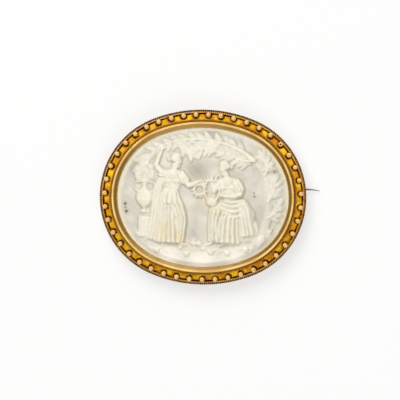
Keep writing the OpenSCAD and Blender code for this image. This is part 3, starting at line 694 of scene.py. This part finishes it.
def wreath():
    leaves, r = 22, 1.6
    for k, a in enumerate(circle(leaves)):
        lean = radians(30 if k % 2 else -30)
        leaf(-0.75 + r * cos(a), 2.15 + r * sin(a), a + pi / 2 + lean, 1.35, 0.36, 0.8)


# Pillar under the vase, and where the vase stands on it
PILLAR_X, PILLAR_R, PILLAR_FOOT, PILLAR_TOP = -16.3, 1.75, -11.4, -5.7
VASE_FOOT, VASE_MOUTH = -4.5, 4.7
# Turned vase. Columns: height above its foot, half width
VASE = [(0, 1.3), (0.4, 1.25), (0.7, 0.6), (1.2, 0.55), (1.5, 0.9), (2.3, 1.75), (3.5, 2.35),
        (4.8, 2.45), (5.9, 1.95), (6.6, 1.15), (7.2, 0.82), (8.1, 0.85), (8.7, 1.25), (9.05, 1.55),
        (9.3, 1.5)]

# Stems of the flowers. Columns: lean in degrees, length
STEMS = [(150, 3.4), (128, 4.2), (105, 5), (84, 5.4), (62, 4.8), (40, 3.8), (22, 2.8), (168, 2.4)]


def turned(low, high, half_width, height_of):
    """Round upright form, from functions that give its half width and its relief."""
    part, X, Y = near((PILLAR_X - 2.7, low), (PILLAR_X + 2.7, high))
    X, up = X - PILLAR_X, Y - low
    r = half_width(up)
    q = np.clip(X / r, -1, 1)
    height = height_of(up, r, np.arcsin(q), np.sqrt(1 - q * q))
    inside = (np.abs(X) < r) & (Y > low) & (Y < high)
    raise_to(part, height * wall((1 - np.abs(q)) * r, 0.18), inside, 0.03)


def fluting(up, r, around, bulge):
    return 0.3 + 0.55 * bulge + 0.13 * np.abs(np.sin(around * 5))**0.7


def vase_relief(up, r, around, bulge):
    height = 0.28 + 0.38 * r * bulge
    lobes = np.clip((4.1 - up) / 0.5, 0, 1) * np.clip((up - 1.4) / 0.3, 0, 1)
    height += 0.14 * np.abs(np.sin(around * 6))**0.6 * lobes
    for level, wide in ((4.3, 0.12), (4.85, 0.12), (5.8, 0.1), (6.7, 0.12), (8.8, 0.14)):
        height += 0.13 * np.exp(-((up - level) / wide)**2)
    return height + 0.1 * np.exp(-((up - 5.35 - 0.16 * np.sin(around * 9)) / 0.1)**2)


def vase():
    x, mouth = PILLAR_X, VASE_MOUTH
    for y, half, r in ((-12.4, 2.2, 0.5), (-11.6, 1.95, 0.4), (-5.6, 1.95, 0.4), (-4.9, 2.2, 0.42)):
        drape([(x, y - r, half, 0.5), (x, y + r, half, 0.5)], [], 0, 0.06, 0.15, 0.05)
    turned(PILLAR_FOOT, PILLAR_TOP, lambda up: np.full(up.shape, PILLAR_R), fluting)
    turned(VASE_FOOT, VASE_FOOT + VASE[-1][0], lambda up: np.interp(up, *zip(*VASE)), vase_relief)
    for side in (-1, 1):
        limb([(x + 1.9 * side, 1.2, 0.26, 0.55), (x + 2.9 * side, 2.3, 0.24, 0.5),
              (x + 2.6 * side, 3.7, 0.22, 0.5), (x + 1.1 * side, 4, 0.2, 0.6)], 0.9, 0.1, 0.04)
    for lean, length in STEMS:
        a = radians(lean)
        dx, dy = 0.75 * length * cos(a), 0.85 * length * sin(a)
        limb([(x, mouth, 0.14, 0.4), (x + dx / 2, mouth + 0.2 + dy / 2, 0.12, 0.4),
              (x + dx, mouth + dy, 0.1, 0.4)], 0.8, 0.06, 0.03)
        for side in (-1, 1):
            for t in (0.45, 0.75):
                leaf(x + dx * t, mouth + dy * t, a + side * 0.73, 1.7, 0.42, 0.4)
        rosette(x + dx, mouth + dy, 0.95, 0.5)


TRUNK = [(16.6, -12.2, 1.9, 0.4), (17.6, -8.5, 1.4, 0.46), (18.5, -3.5, 1.2, 0.48),
         (18.6, 1.5, 1.05, 0.48), (17.4, 6.5, 0.95, 0.5), (14.2, 10.6, 0.85, 0.54)]
BOUGH = [(14.2, 10.6, 0.85, 0.54), (10.2, 13.4, 0.66, 0.54), (5.2, 15.3, 0.54, 0.5),
         (-1, 16.2, 0.46, 0.46), (-7.5, 15.7, 0.4, 0.42), (-13.2, 13.2, 0.34, 0.38),
         (-17.4, 9.2, 0.26, 0.32)]
# Side boughs. Columns: pairs of leaves, line
SIDE_BOUGHS = [
    (4, [(18.4, -1, 0.5, 0.45), (20, 2.4, 0.4, 0.42), (20.3, 5.2, 0.3, 0.38)]),
    (4, [(17.4, 6.5, 0.45, 0.45), (18.4, 9, 0.36, 0.42), (16.9, 11.6, 0.28, 0.38)]),
    (6, [(14.4, 10.4, 0.5, 0.5), (11.4, 10.3, 0.38, 0.52), (8.4, 11.5, 0.3, 0.48),
         (5.4, 12.6, 0.22, 0.42)]),
    (5, [(5.2, 15.3, 0.44, 0.5), (1.4, 13.6, 0.34, 0.48), (-2.4, 13.2, 0.24, 0.42)]),
    (4, [(-7.5, 15.7, 0.34, 0.42), (-5.2, 13.9, 0.26, 0.42), (-3.4, 12.4, 0.2, 0.36)]),
    (3, [(17.9, -5.6, 0.44, 0.42), (20.2, -4.6, 0.34, 0.38), (21.2, -2.8, 0.24, 0.32)])
]


def leafy(points, pairs, length, width, seed, level):
    """A bough with pairs of leaves, one leaf at its tip, and berries."""
    limb(points, 0.7)
    rng = np.random.default_rng(seed)
    line = smooth(points)[:, :2]
    step = np.concatenate([[0], np.cumsum(np.hypot(*np.diff(line, axis=0).T))])
    heading = np.arctan2(*np.gradient(line, axis=0).T[::-1])
    for k in range(pairs):
        s = (0.06 + 0.94 * (k + 0.5) / pairs) * step[-1]
        x, y, a = (np.interp(s, step, row) for row in (*line.T, np.unwrap(heading)))
        for side in (-1, 1):
            leaf(x, y, a + side * (0.72 + rng.normal(0, 0.12)), length * rng.uniform(0.85, 1.12),
                 width * rng.uniform(0.9, 1.1), level + rng.uniform(-0.05, 0.15), -side * 0.12)
        b = a + 1.6 * (-1)**k
        mass(x + 0.9 * cos(b), y + 0.9 * sin(b), 0.3, 0.3, 0, level + 0.25, 0.16, 0.1, 0.02)
    leaf(*line[-1], heading[-1], length, width, level)


def tree():
    drape(TRUNK, [(-0.75, -0.6, 0.28), (-0.3, -0.25, 0.26), (0.15, 0.2, 0.28), (0.65, 0.6, 0.26)],
          0.24, 0.5, flat=False)
    for x, y in ((13, -13.2), (15.6, -14.4), (18.6, -12.4)):
        limb([(16.8, -11.2, 1.1, 0.4), ((16.6 + x) / 2, (y - 11.8) / 2, 0.7, 0.34), (x, y, 0.4, 0.22)],
             blend=0.2)
    leafy(BOUGH, 14, 3.5, 0.82, 41, 0.36)
    for k, (pairs, points) in enumerate(SIDE_BOUGHS):
        leafy(points, pairs, 3.1, 0.74, 50 + k, 0.46)


# Tufts of grass. Columns: x, y, blades
TUFTS = [(-2.2, -13.6, 6), (0.4, -15, 5), (-15.6, -12.6, 5), (10.8, -14.8, 5), (19, -10.2, 4),
         (-9.4, -15.8, 5), (4.6, -16, 5), (-6, -14.8, 5), (14, -14.6, 4)]
FLOWERS = [(-0.6, -13), (-12.6, -14.8), (12.4, -14.4), (7.2, -15.4), (-4.2, -15.8), (-17.6, -10.6),
           (2.6, -15.2)]
# Swells of the turf. Columns: x, y, half length, half height, turn, height
SWELLS = [(0, -17.6, 13, 3, 0, 0.5), (-9.5, -15.6, 8, 2.4, -0.22, 0.42),
          (9.5, -15.2, 8, 2.4, 0.25, 0.44), (-1, -14.6, 6.5, 1.6, 0.05, 0.34),
          (-16.4, -11.6, 4.4, 2.2, -0.6, 0.36), (17, -11.6, 4, 2.2, 0.6, 0.4)]
# Low swells of distant ground. Columns: x, y, half length, half height, turn
DISTANCE = [(-20.2, -5, 3.2, 5.4, 0.2), (20.8, 1, 2.6, 9, 0.05), (14.6, 3, 2.4, 6, 0.2),
            (0.6, -9.6, 3, 4.4, 0)]


def turf():
    for *oval, height in SWELLS:
        mass(*oval, 0.1, height, 0.9, 0.06)
    rng = np.random.default_rng(62)
    for x, y, blades in TUFTS:
        for k in range(blades):
            a = pi / 2 + (k - (blades - 1) / 2) * 0.42 + rng.normal(0, 0.08)
            leaf(x, y, a, rng.uniform(1.6, 2.5), 0.34, 0.66, 0.2 if a < pi / 2 else -0.2)
    for x, y in FLOWERS:
        rosette(x, y, 1, 0.72)


for oval in DISTANCE:
    mass(*oval, 0.06, 0.16, 1.2, 0.05)
tree()
turf()
vase()
standing_woman()
seated_woman()
# Polish: every edge is worn a little round
for _ in range(2):
    h = np.pad(relief, 1, mode="edge")
    h = (h[:-2] + 2 * h[1:-1] + h[2:]) / 4
    relief = (h[:, :-2] + 2 * h[:, 1:-1] + h[:, 2:]) / 4


# Pieces of the border

RIM_STEPS = 480
CHANNEL_STEPS = 900
WIRE_SIDES = 14
GRANULE_N = 43
GRANULE_D = 1.38
GRANULE_SINK = 0.07
GRANULE_U = CREST_U + CREST_W + 0.4 * GRANULE_D
GRANULE_START = 1.5
# Drift of the hand-set granules, at equal steps round the rim, in diameters
GRANULE_DRIFT = [0, 0.28, 0.46, -0.42, -0.58, -0.12, 0.04, 0, -0.4, -0.28, 0]
# Granule that is worn through
WORN = 4
# Painted shade on each granule's top
TOP_SHADE = 0.36
# Painted shadow on the floor beside each granule. Columns: distance from a granule's centre, strength
GRANULE_SHADOW = [(0.78, 1), (0.98, 0.5), (1.2, 0.2), (1.45, 0)]
# How far inward from a granule's middle its painted shadow lies
GRANULE_SHADOW_IN = 0.22
# Darkening of the floor: everywhere, and more in the lower half
FLOOR_DARKENING, FLOOR_DARKENING_LOW = 0.01, 0.25


def granule_shares():
    """Places of the granules as shares of the rim's length."""
    share = np.arange(GRANULE_N) / GRANULE_N
    drift = np.interp(share, np.linspace(0, 1, len(GRANULE_DRIFT)), GRANULE_DRIFT) * GRANULE_D
    return (GRANULE_START + drift) / rim_length() + share


def channel():
    """The frame's section swept round the oval, with painted shade in its groove, along its inner ridge
    and round the granules, and its floor darker towards the bottom.
    """
    crest_in = CREST_U + CREST_W
    floor_in = crest_in + GROOVE_W
    ridge_in = floor_in + FLOOR_W
    ridge_end = ridge_in + RIDGE_W
    wall_in = BEZEL_U - SET_GAP
    opening = SHELL_U + LEDGE_W
    corners = [
        (CREST_U, BACK_Z), (CREST_U, FLOOR_Z - 0.4), (CREST_U, FLOOR_Z + CREST_H),
        (crest_in, FLOOR_Z + CREST_H), (crest_in, FLOOR_Z - GROOVE_DEEP),
        (floor_in, FLOOR_Z - GROOVE_DEEP), (floor_in, FLOOR_Z),
        *[(floor_in + a * FLOOR_W, FLOOR_Z) for a in (0.2, 0.4, 0.55, 0.7, 0.85)],
        (ridge_in, FLOOR_Z), (ridge_in, FLOOR_Z + RIDGE_H), (ridge_end, FLOOR_Z + RIDGE_H),
        (ridge_end, FLOOR_Z - SET_GAP), (wall_in, FLOOR_Z - SET_GAP), (wall_in, LEDGE_Z),
        (opening, LEDGE_Z), (opening, BACK_Z)
    ]
    profile = round_corners(corners, 0.04)
    points, faces = sweep(profile, CHANNEL_STEPS)
    u, z = profile.T
    in_groove = (u > crest_in - 0.02) & (u < floor_in + 0.02) & (z < FLOOR_Z - 0.02) & (z > BACK_Z + 1)
    by_ridge = (u > ridge_end - 0.01) & (z < FLOOR_Z + 0.05) & (z > LEDGE_Z)
    plain = (z < FLOOR_Z - 0.3) & ~in_groove
    # Painted shadow on the floor round each granule
    share = np.arange(CHANNEL_STEPS) / CHANNEL_STEPS
    apart = np.abs(share[:, None] - granule_shares() % 1)
    apart = np.minimum(apart, 1 - apart).min(1) * rim_length(GRANULE_U)
    away = np.hypot(apart[:, None], u - GRANULE_U - GRANULE_SHADOW_IN)
    granule_shadow = np.interp(away, *zip(*GRANULE_SHADOW)) * ((np.abs(z - FLOOR_Z) < 0.12) & (u > crest_in))
    # The floor is darker towards the bottom
    low = np.clip(0.3 - 1.5 * rim(share, GRANULE_U)[0][:, 1] / HALF_H, 0, 1)
    floor_darkening = (FLOOR_DARKENING + FLOOR_DARKENING_LOW * low)[:, None] * (z > FLOOR_Z - 0.02)
    # Painted shade fills the groove and half fills the strip by the ridge
    painted_shade_and_darkening = np.maximum(np.maximum(granule_shadow, floor_darkening), np.where(in_groove, 1, 0.5 * by_ridge))
    make_mesh("channel", points, faces, GOLD_CHANNEL, "brooch", ["frame"],
              values={"painted_shade_and_darkening": painted_shade_and_darkening.ravel(), "plain": np.tile(plain, CHANNEL_STEPS)})


def rim_wire():
    """Round wire along the back of the outer wall."""
    r, turn = RIM_WIRE_D / 2, circle(WIRE_SIDES)
    middle = np.array([CREST_U + r - SET_GAP, RIM_Z + r])
    points, faces = sweep(middle + r * np.stack([-np.cos(turn), np.sin(turn)], -1), RIM_STEPS)
    make_mesh("rim_wire", points, faces, GOLD_FITTING, "brooch")


def granules():
    """The row of granules, each sunk in its solder, one of them worn hollow, with painted shade on their
    tops, on their undersides and in the worn hollow.
    """
    rng = np.random.default_rng(7)
    r = GRANULE_D / 2
    rows, columns = 18, 28
    spin = circle(columns)
    fall = np.linspace(0.12, radians(150), rows)
    middle_z = FLOOR_Z + r - GRANULE_SINK
    points, faces, painted_shade_and_darkening = [], [], []
    for k, (x, y) in enumerate(rim(granule_shares(), GRANULE_U)[0]):
        worn = k == WORN
        size = r * (1 - rng.uniform(0, 0.03))
        squash = 1 - rng.uniform(0, 0.06)
        dent_at = rng.uniform(0, TURN)
        side = 1 - rng.uniform(0, 0.05) * np.exp(-2 * (1 - np.cos(spin - dent_at)))
        start = len(points)
        heights = np.cos(fall)
        if worn:
            heights = heights - 0.9 * np.maximum(0, 0.62 - np.sin(fall)) * (fall < 1.6)
        points.append((x, y, middle_z + r * squash * (0.4 if worn else 1) - 0.001))
        painted_shade_and_darkening.append(1 if worn else TOP_SHADE)
        for a, z in zip(fall, heights):
            ring = size * sin(a) * side
            points.extend(np.stack([x + ring * np.cos(spin), y + ring * np.sin(spin),
                                    np.full(columns, middle_z + size * squash * z)], -1))
            # Painted shade: a darker top, a dark underside, and the worn hollow dark all over
            low = max(0, (a - 1.75) / (fall[-1] - 1.75))
            dark = max(TOP_SHADE * exp(-(a / 0.45)**2), 0.85 * low)
            painted_shade_and_darkening.extend([1 if worn and sin(a) < 0.5 and a < 1.6 else dark] * columns)
        faces.extend([start, start + 1 + c, start + 1 + (c + 1) % columns] for c in range(columns))
        faces.extend((ring_faces(rows, columns, False) + start + 1).tolist())
        faces.append([start + 1 + (rows - 1) * columns + c for c in range(columns)][::-1])
    make_mesh("granules", points, faces, GOLD_BALLS, "brooch", values={"painted_shade_and_darkening": painted_shade_and_darkening})


# Length of one turn of both twisted wires, and the steps in it
TWIST = 1.14
TWIST_STEPS = 9


def twisted_wire(name, middle_u, middle_z, d, sides, node, material, shade_level, shade=0):
    """Two strands twisted together in a round of diameter d, with painted shade between them and on
    their outer side.
    """
    turns = round(rim_length(middle_u) / TWIST)
    count = turns * TWIST_STEPS
    share = np.arange(count) / count
    strand_r = d / 4
    slope = TURN * strand_r / TWIST
    around = circle(sides)
    centre, out = rim(share, middle_u)
    onward = np.stack([-out[:, 1], out[:, 0]], -1)
    points, faces, painted_shade_and_darkening = [], [], []
    for strand in (0, 1):
        twist = TURN * (share * turns + strand / 2)
        sine, cosine = np.sin(twist)[:, None], np.cos(twist)[:, None]
        tangent = np.hstack([onward - slope * sine * out, slope * cosine])
        tangent /= np.linalg.norm(tangent, axis=1, keepdims=True)
        away = np.hstack([cosine * out, sine])
        across = np.cross(tangent, away)
        heart = np.hstack([centre, np.full((count, 1), middle_z)]) + strand_r * away
        spot = heart[:, None] + strand_r * (np.cos(around)[:, None] * away[:, None]
                                            + np.sin(around)[:, None] * across[:, None])
        points.append(spot.reshape(-1, 3))
        faces.append(ring_faces(count, sides) + strand * count * sides)
        # Painted shade: dark in the notches between the strands, and on the side that faces out
        outward = ((spot[..., :2] - centre[:, None]) * out[:, None]).sum(-1) / (d / 2)
        dark = np.maximum(shade_level - 2 * np.cos(around), shade * np.clip(1.6 * outward + 0.6, 0, 1))
        painted_shade_and_darkening.append(np.clip(dark, 0, 1).ravel())
    make_mesh(name, np.vstack(points), np.vstack(faces), material, "brooch", [node],
              values={"painted_shade_and_darkening": np.hstack(painted_shade_and_darkening)})


# Rounded face of the bezel. Columns: share of its width from outside, of its height from the top
BEZEL_FACE = [(0, 0.12), (0.03, 0.04), (0.08, 0.012), (0.18, 0.003), (0.28, 0), (0.37, 0.01),
              (0.46, 0.045), (0.56, 0.105), (0.93, 0.36)]


def bezel():
    """The polished collet round the shell, its face burnished by hand."""
    height = BEZEL_TOP - FLOOR_Z
    inner = SHELL_U - SET_GAP
    lip_z = MARGIN_Z + SET_GAP
    corners = [(BEZEL_U, BEZEL_FOOT)]
    corners += [(BEZEL_U + a * BEZEL_W, BEZEL_TOP - b * height) for a, b in BEZEL_FACE]
    corners += [(WINDOW_U, lip_z + LIP_T), (WINDOW_U, lip_z), (inner, lip_z), (inner, BEZEL_FOOT)]
    profile = round_corners(corners, 0.16, 4)
    points, faces = sweep(profile, RIM_STEPS)
    u, z = profile.T
    turn = circle(RIM_STEPS)
    dip = 0.012 * (np.sin(23 * turn + 1) + np.sin(37 * turn) + np.sin(61 * turn + 2))
    on_face = (z > FLOOR_Z + 0.3) & (u < WINDOW_U - 0.05)
    points[:, 2] += (np.minimum(dip[:, None], 0) * on_face).ravel()
    # The lip's edge along the shell is darker
    by_shell = np.exp(-((u - WINDOW_U) / 0.08)**2)
    make_mesh("bezel_ring", points, faces, GOLD_BEZEL, "brooch", ["bezel"],
              values={"painted_shade_and_darkening": np.tile(0.8 * by_shell, RIM_STEPS)})


# Where the bend of the pin's tip starts, and how far down its point is
BEND_X = 29
BEND = 0.36


def pin_wire():
    """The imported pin, its tip bent a little by use."""
    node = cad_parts["pin"]
    shape = bmesh.new()
    shape.from_mesh(node.data)
    shape.transform(node.matrix_world)
    point_x = max(v.co.x for v in shape.verts) / MM
    for x in np.arange(BEND_X, point_x, 0.4):
        geometry = shape.verts[:] + shape.edges[:] + shape.faces[:]
        bmesh.ops.bisect_plane(shape, geom=geometry, plane_co=(x * MM, 0, 0), plane_no=(1, 0, 0))
    for v in shape.verts:
        past = max(0, v.co.x / MM - BEND_X) / (point_x - BEND_X)
        v.co.y -= BEND * past**2 * MM
    shape.verts.index_update()
    points = [np.array(v.co) / MM for v in shape.verts]
    faces = [[v.index for v in f.verts] for f in shape.faces]
    shape.free()
    mesh = make_mesh("pin_wire", points, faces, PIN_METAL, "pin", ["pin"])
    mesh.set_sharp_from_angle(angle=radians(40))


channel()
rim_wire()
granules()
twisted_wire("outer_twist", ROPE_D / 2, ROPE_Z, ROPE_D, 14, "outer_rope", GOLD_WIRE, 1.2, 0.8)
twisted_wire("inner_twist", INNER_U + INNER_D / 2, INNER_Z, INNER_D, 12, "inner_rope", GOLD_INNER_WIRE,
             0.55)
bezel()
pin_wire()
for name in ("hinge", "hinge_rivet", "catch"):
    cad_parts[name].data.materials.clear()
    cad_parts[name].data.materials.append(GOLD_FITTING)


# Shell

# Marks on the shell. Columns: x, y, radius
SPECKS = [(-21.7, -2.2, 0.4), (-21.3, -4.3, 0.46)]
STAINS = [(20.05, 7.45, 0.48), (14.4, 1.45, 0.26), (14.55, 0.5, 0.3), (-21.6, -3.2, 0.3)]
# Warm, thin grey and pale thick patches
WARM = [(-10.6, -9.4, 2.6), (-6, -11, 2), (1, -1, 1.6), (4.5, -3, 1.8)]
THIN_PATCHES = [(-19.2, 7.8, 2), (-10.3, 2.7, 2.6), (0.1, -9.6, 2.6), (13, -5.6, 2.4),
                (8.8, 3.6, 2.4), (-1.5, 7.5, 3), (2, 19, 3.5)]
PALE_PATCHES = [(0, -19.5, 4), (-9.5, -17.8, 3.5), (9.5, -17.8, 3.5)]


def patches(x, y, table):
    """Share of soft round patches."""
    return np.max([np.exp(-((x - cx)**2 + (y - cy)**2) / (r * r)) for cx, cy, r in table], 0)


def recesses():
    """Share of how far the carving lies below what is round it."""
    wide = relief
    for axis in (0, 1):
        wide = sum(np.roll(wide, k, axis) for k in range(-4, 5)) / 9
    return np.clip((wide - relief) / 0.35, 0, 1)


def shell():
    """The carved front, the shell's edge and its hollow back."""
    x, y = GRID_X.ravel(), GRID_Y.ravel()
    angle = np.arctan2(y, x)
    edge = oval_reach(angle, SHELL_U)
    share = np.hypot(x, y) / edge
    cells = np.arange(x.size).reshape(GRID_X.shape)
    corners = (cells[:-1, :-1], cells[:-1, 1:], cells[1:, 1:], cells[1:, :-1])
    quads = np.stack([c.ravel() for c in corners], -1)
    quads = quads[(share < 1)[quads].any(1)]
    used = np.unique(quads)
    faces = np.searchsorted(used, quads)
    share, angle, edge = share[used], angle[used], edge[used]
    # Points past the edge are drawn in to it
    loop = np.flatnonzero(share >= 1)
    loop = loop[np.argsort(angle[loop])]
    px = np.where(share < 1, x[used], edge * np.cos(angle))
    py = np.where(share < 1, y[used], edge * np.sin(angle))
    share = np.minimum(share, 1)
    window = 0.99 - LIP_W / (HALF_H - SHELL_U)
    fade = np.clip((window - share) / 0.05, 0, 1)
    dome = DOME_RISE * np.maximum(0, 1 - (share / window)**2)
    carved = np.clip(relief.ravel()[used], 0, RELIEF_H) * fade
    front = np.stack([px, py, np.minimum(MARGIN_Z + dome + carved, SHELL_HIGH[2])], -1)
    # Rings of the edge and the back
    turn, reach = angle[loop], edge[loop]
    count, base = len(loop), len(front)
    rings = [(1, 0), *((s, 1 - (s / 0.95)**2) for s in np.linspace(0.95, 0.08, 9))]
    points = [front]
    rows = [loop]
    for k, (a, b) in enumerate(rings):
        points.append(np.stack([a * reach * np.cos(turn), a * reach * np.sin(turn),
                                np.full(count, SHELL_FOOT + HOLLOW_RISE * b)], -1))
        rows.append(base + k * count + np.arange(count))
    points = np.concatenate([*points, [[0, 0, SHELL_FOOT + HOLLOW_RISE]]])
    all_faces = faces.tolist()
    for upper, lower in zip(rows[:-1], rows[1:]):
        all_faces += np.stack([np.roll(upper, -1), upper, lower, np.roll(lower, -1)], -1).tolist()
    hub = np.full(count, len(points) - 1)
    all_faces += np.stack([np.roll(rows[-1], -1), rows[-1], hub], -1).tolist()
    # Painted reflection of the gold bezel: a warm band along the window's edge
    bezel_reflection = np.exp(-((window - share) * HALF_H / 0.5)**2)
    # Painted light: the margin is made paler towards the bottom, where it faces away from the key light
    low = np.clip(-1.6 * py / HALF_H - 0.5, 0, 1) * np.clip((share - window + 0.13) / 0.05, 0, 1)
    values = {
        "carving": carved, "rim": 1 - fade, "recess": recesses().ravel()[used] * fade,
        "thin": patches(px, py, THIN_PATCHES) * (1 - np.clip(carved / 0.3, 0, 1)),
        "speck": patches(px, py, SPECKS), "stain": patches(px, py, STAINS),
        "pale": np.maximum(patches(px, py, PALE_PATCHES), 0.55 * low),
        "warm_and_painted_reflection": np.maximum(0.7 * bezel_reflection, 0.5 * patches(px, py, WARM))
    }
    back = np.zeros(len(points) - base)
    make_mesh("carved_shell", points, all_faces, SHELL, "brooch", ["cameo"],
              values={key: np.concatenate([row, back]) for key, row in values.items()})


shell()


# Camera, floor and light

PHOTO_SIDE = 400
PHOTO_CENTRE = (202.85, 197.15)
MM_A_PIXEL = 0.2795
PHOTO_ROLL = radians(1.04)
CAMERA_LEAN_X = radians(4.5)
CAMERA_LEAN_Y = radians(1.5)
CAMERA_DISTANCE = 1.2
SENSOR = 36
# Whiteness of the paper and the glow from under it
PAPER = 0.32
PAPER_GLOW = 0.6
# Light of the tent: overhead, the middle and half the size of that patch of light, and lower down
OVERHEAD = 1.35
OVERHEAD_AT = (-0.17, 0.05, 0)
OVERHEAD_HALF = (0.34, 0.52)
TENT_BELOW = 0.5
TENT_ABOVE = 0.65
SIDE_SHARE = 0.35
# How far right of the middle the tent's sides are balanced
SIDE_MIDDLE = 0.07
# Warmer tint of the tent's darker parts
DIM_TINT = (1, 0.84, 0.56, 1)


def camera():
    """A long lens over the brooch, a little to its right, turned as the photo is."""
    toward = np.array([tan(CAMERA_LEAN_X), tan(CAMERA_LEAN_Y), 1])
    toward /= np.linalg.norm(toward)
    up = np.array([-sin(PHOTO_ROLL), cos(PHOTO_ROLL), 0])
    right = np.cross(up, toward)
    right /= np.linalg.norm(right)
    up = np.cross(toward, right)
    shift_x = (PHOTO_CENTRE[0] - PHOTO_SIDE / 2) * MM_A_PIXEL
    shift_y = (PHOTO_SIDE / 2 - PHOTO_CENTRE[1]) * MM_A_PIXEL
    aim = (np.array([0, 0, ROPE_Z]) - right * shift_x - up * shift_y) * MM
    data = bpy.data.cameras.new("camera")
    data.type = "PERSP"
    data.sensor_width = SENSOR
    data.lens = SENSOR * CAMERA_DISTANCE / (PHOTO_SIDE * MM_A_PIXEL * MM)
    data.clip_start, data.clip_end = 0.05, 10
    made = place_object("camera", data)
    columns = np.array([right, up, toward, aim + toward * CAMERA_DISTANCE]).T
    made.matrix_world = Matrix([*columns.tolist(), [0, 0, 0, 1]])
    bpy.context.scene.camera = made


def table_top(side=3):
    """White paper lit a little from below, so that shadows on it stay faint."""
    mesh = bpy.data.meshes.new("table_top")
    mesh.from_pydata([(-side, -side, 0), (side, -side, 0), (side, side, 0), (-side, side, 0)], [],
                     [(0, 1, 2, 3)])
    paper = Shader("paper", Roughness=0.9, Base_Color=(PAPER * 0.96, PAPER * 0.985, PAPER, 1),
                   Specular_IOR_Level=0, Emission_Color=(1, 1, 1, 1), Emission_Strength=PAPER_GLOW)
    mesh.materials.append(paper.material)
    place_object("table_top", mesh)


def softbox(name, place, size, power):
    """A square soft light that faces the brooch, and that polished metal doesn't mirror."""
    data = bpy.data.lights.new(name, "AREA")
    data.shape = "SQUARE"
    data.size = size
    data.energy = power
    made = place_object(name, data)
    made.location = place
    made.rotation_euler = Vector(place).to_track_quat("Z", "Y").to_euler()
    made.visible_glossy = False


def sky():
    """A pale tent: bright overhead, dimmer below and above the brooch and darker at its sides."""
    world = bpy.data.worlds.new("tent")
    world.use_nodes = True
    bpy.context.scene.world = world
    s = Nodes(world.node_tree)
    way = s.add("ShaderNodeTexCoord")["Generated"]
    x, y, z = s.add("ShaderNodeSeparateXYZ", i0=way)
    side = s.math("ABSOLUTE", s.math("SUBTRACT", x, SIDE_MIDDLE))
    tent = s.math("MULTIPLY", s.span(side, 0.2, 0.6, 1, SIDE_SHARE),
                  s.span(y, -0.6, 0.6, TENT_BELOW, TENT_ABOVE))
    beside = s.vector("SUBTRACT", way, OVERHEAD_AT)[0]
    shares = s.vector("MULTIPLY", beside, [1 / half for half in OVERHEAD_HALF] + [0])[0]
    apart = s.vector("LENGTH", shares)["Value"]
    overhead = s.math("MULTIPLY", s.span(apart, 0.65, 1.35, 1, 0), s.span(z, 0, 0.3))
    strength = s.math("ADD", s.math("MULTIPLY", tent, s.math("SUBTRACT", 1, overhead)),
                      s.math("MULTIPLY", overhead, OVERHEAD))
    colour = s.mix(s.span(strength, 0.15, 0.8), DIM_TINT, (1, 1, 1, 1))
    s.feed(s.tree.nodes["Background"], Color=colour, Strength=strength)


camera()
table_top()
sky()
softbox("key", (-0.3, 0.74, 0.97), 0.85, 12.2)
softbox("fill", (0.3, -0.8, 0.9), 0.9, 4.6)
bpy.context.scene.view_settings.view_transform = "Standard"
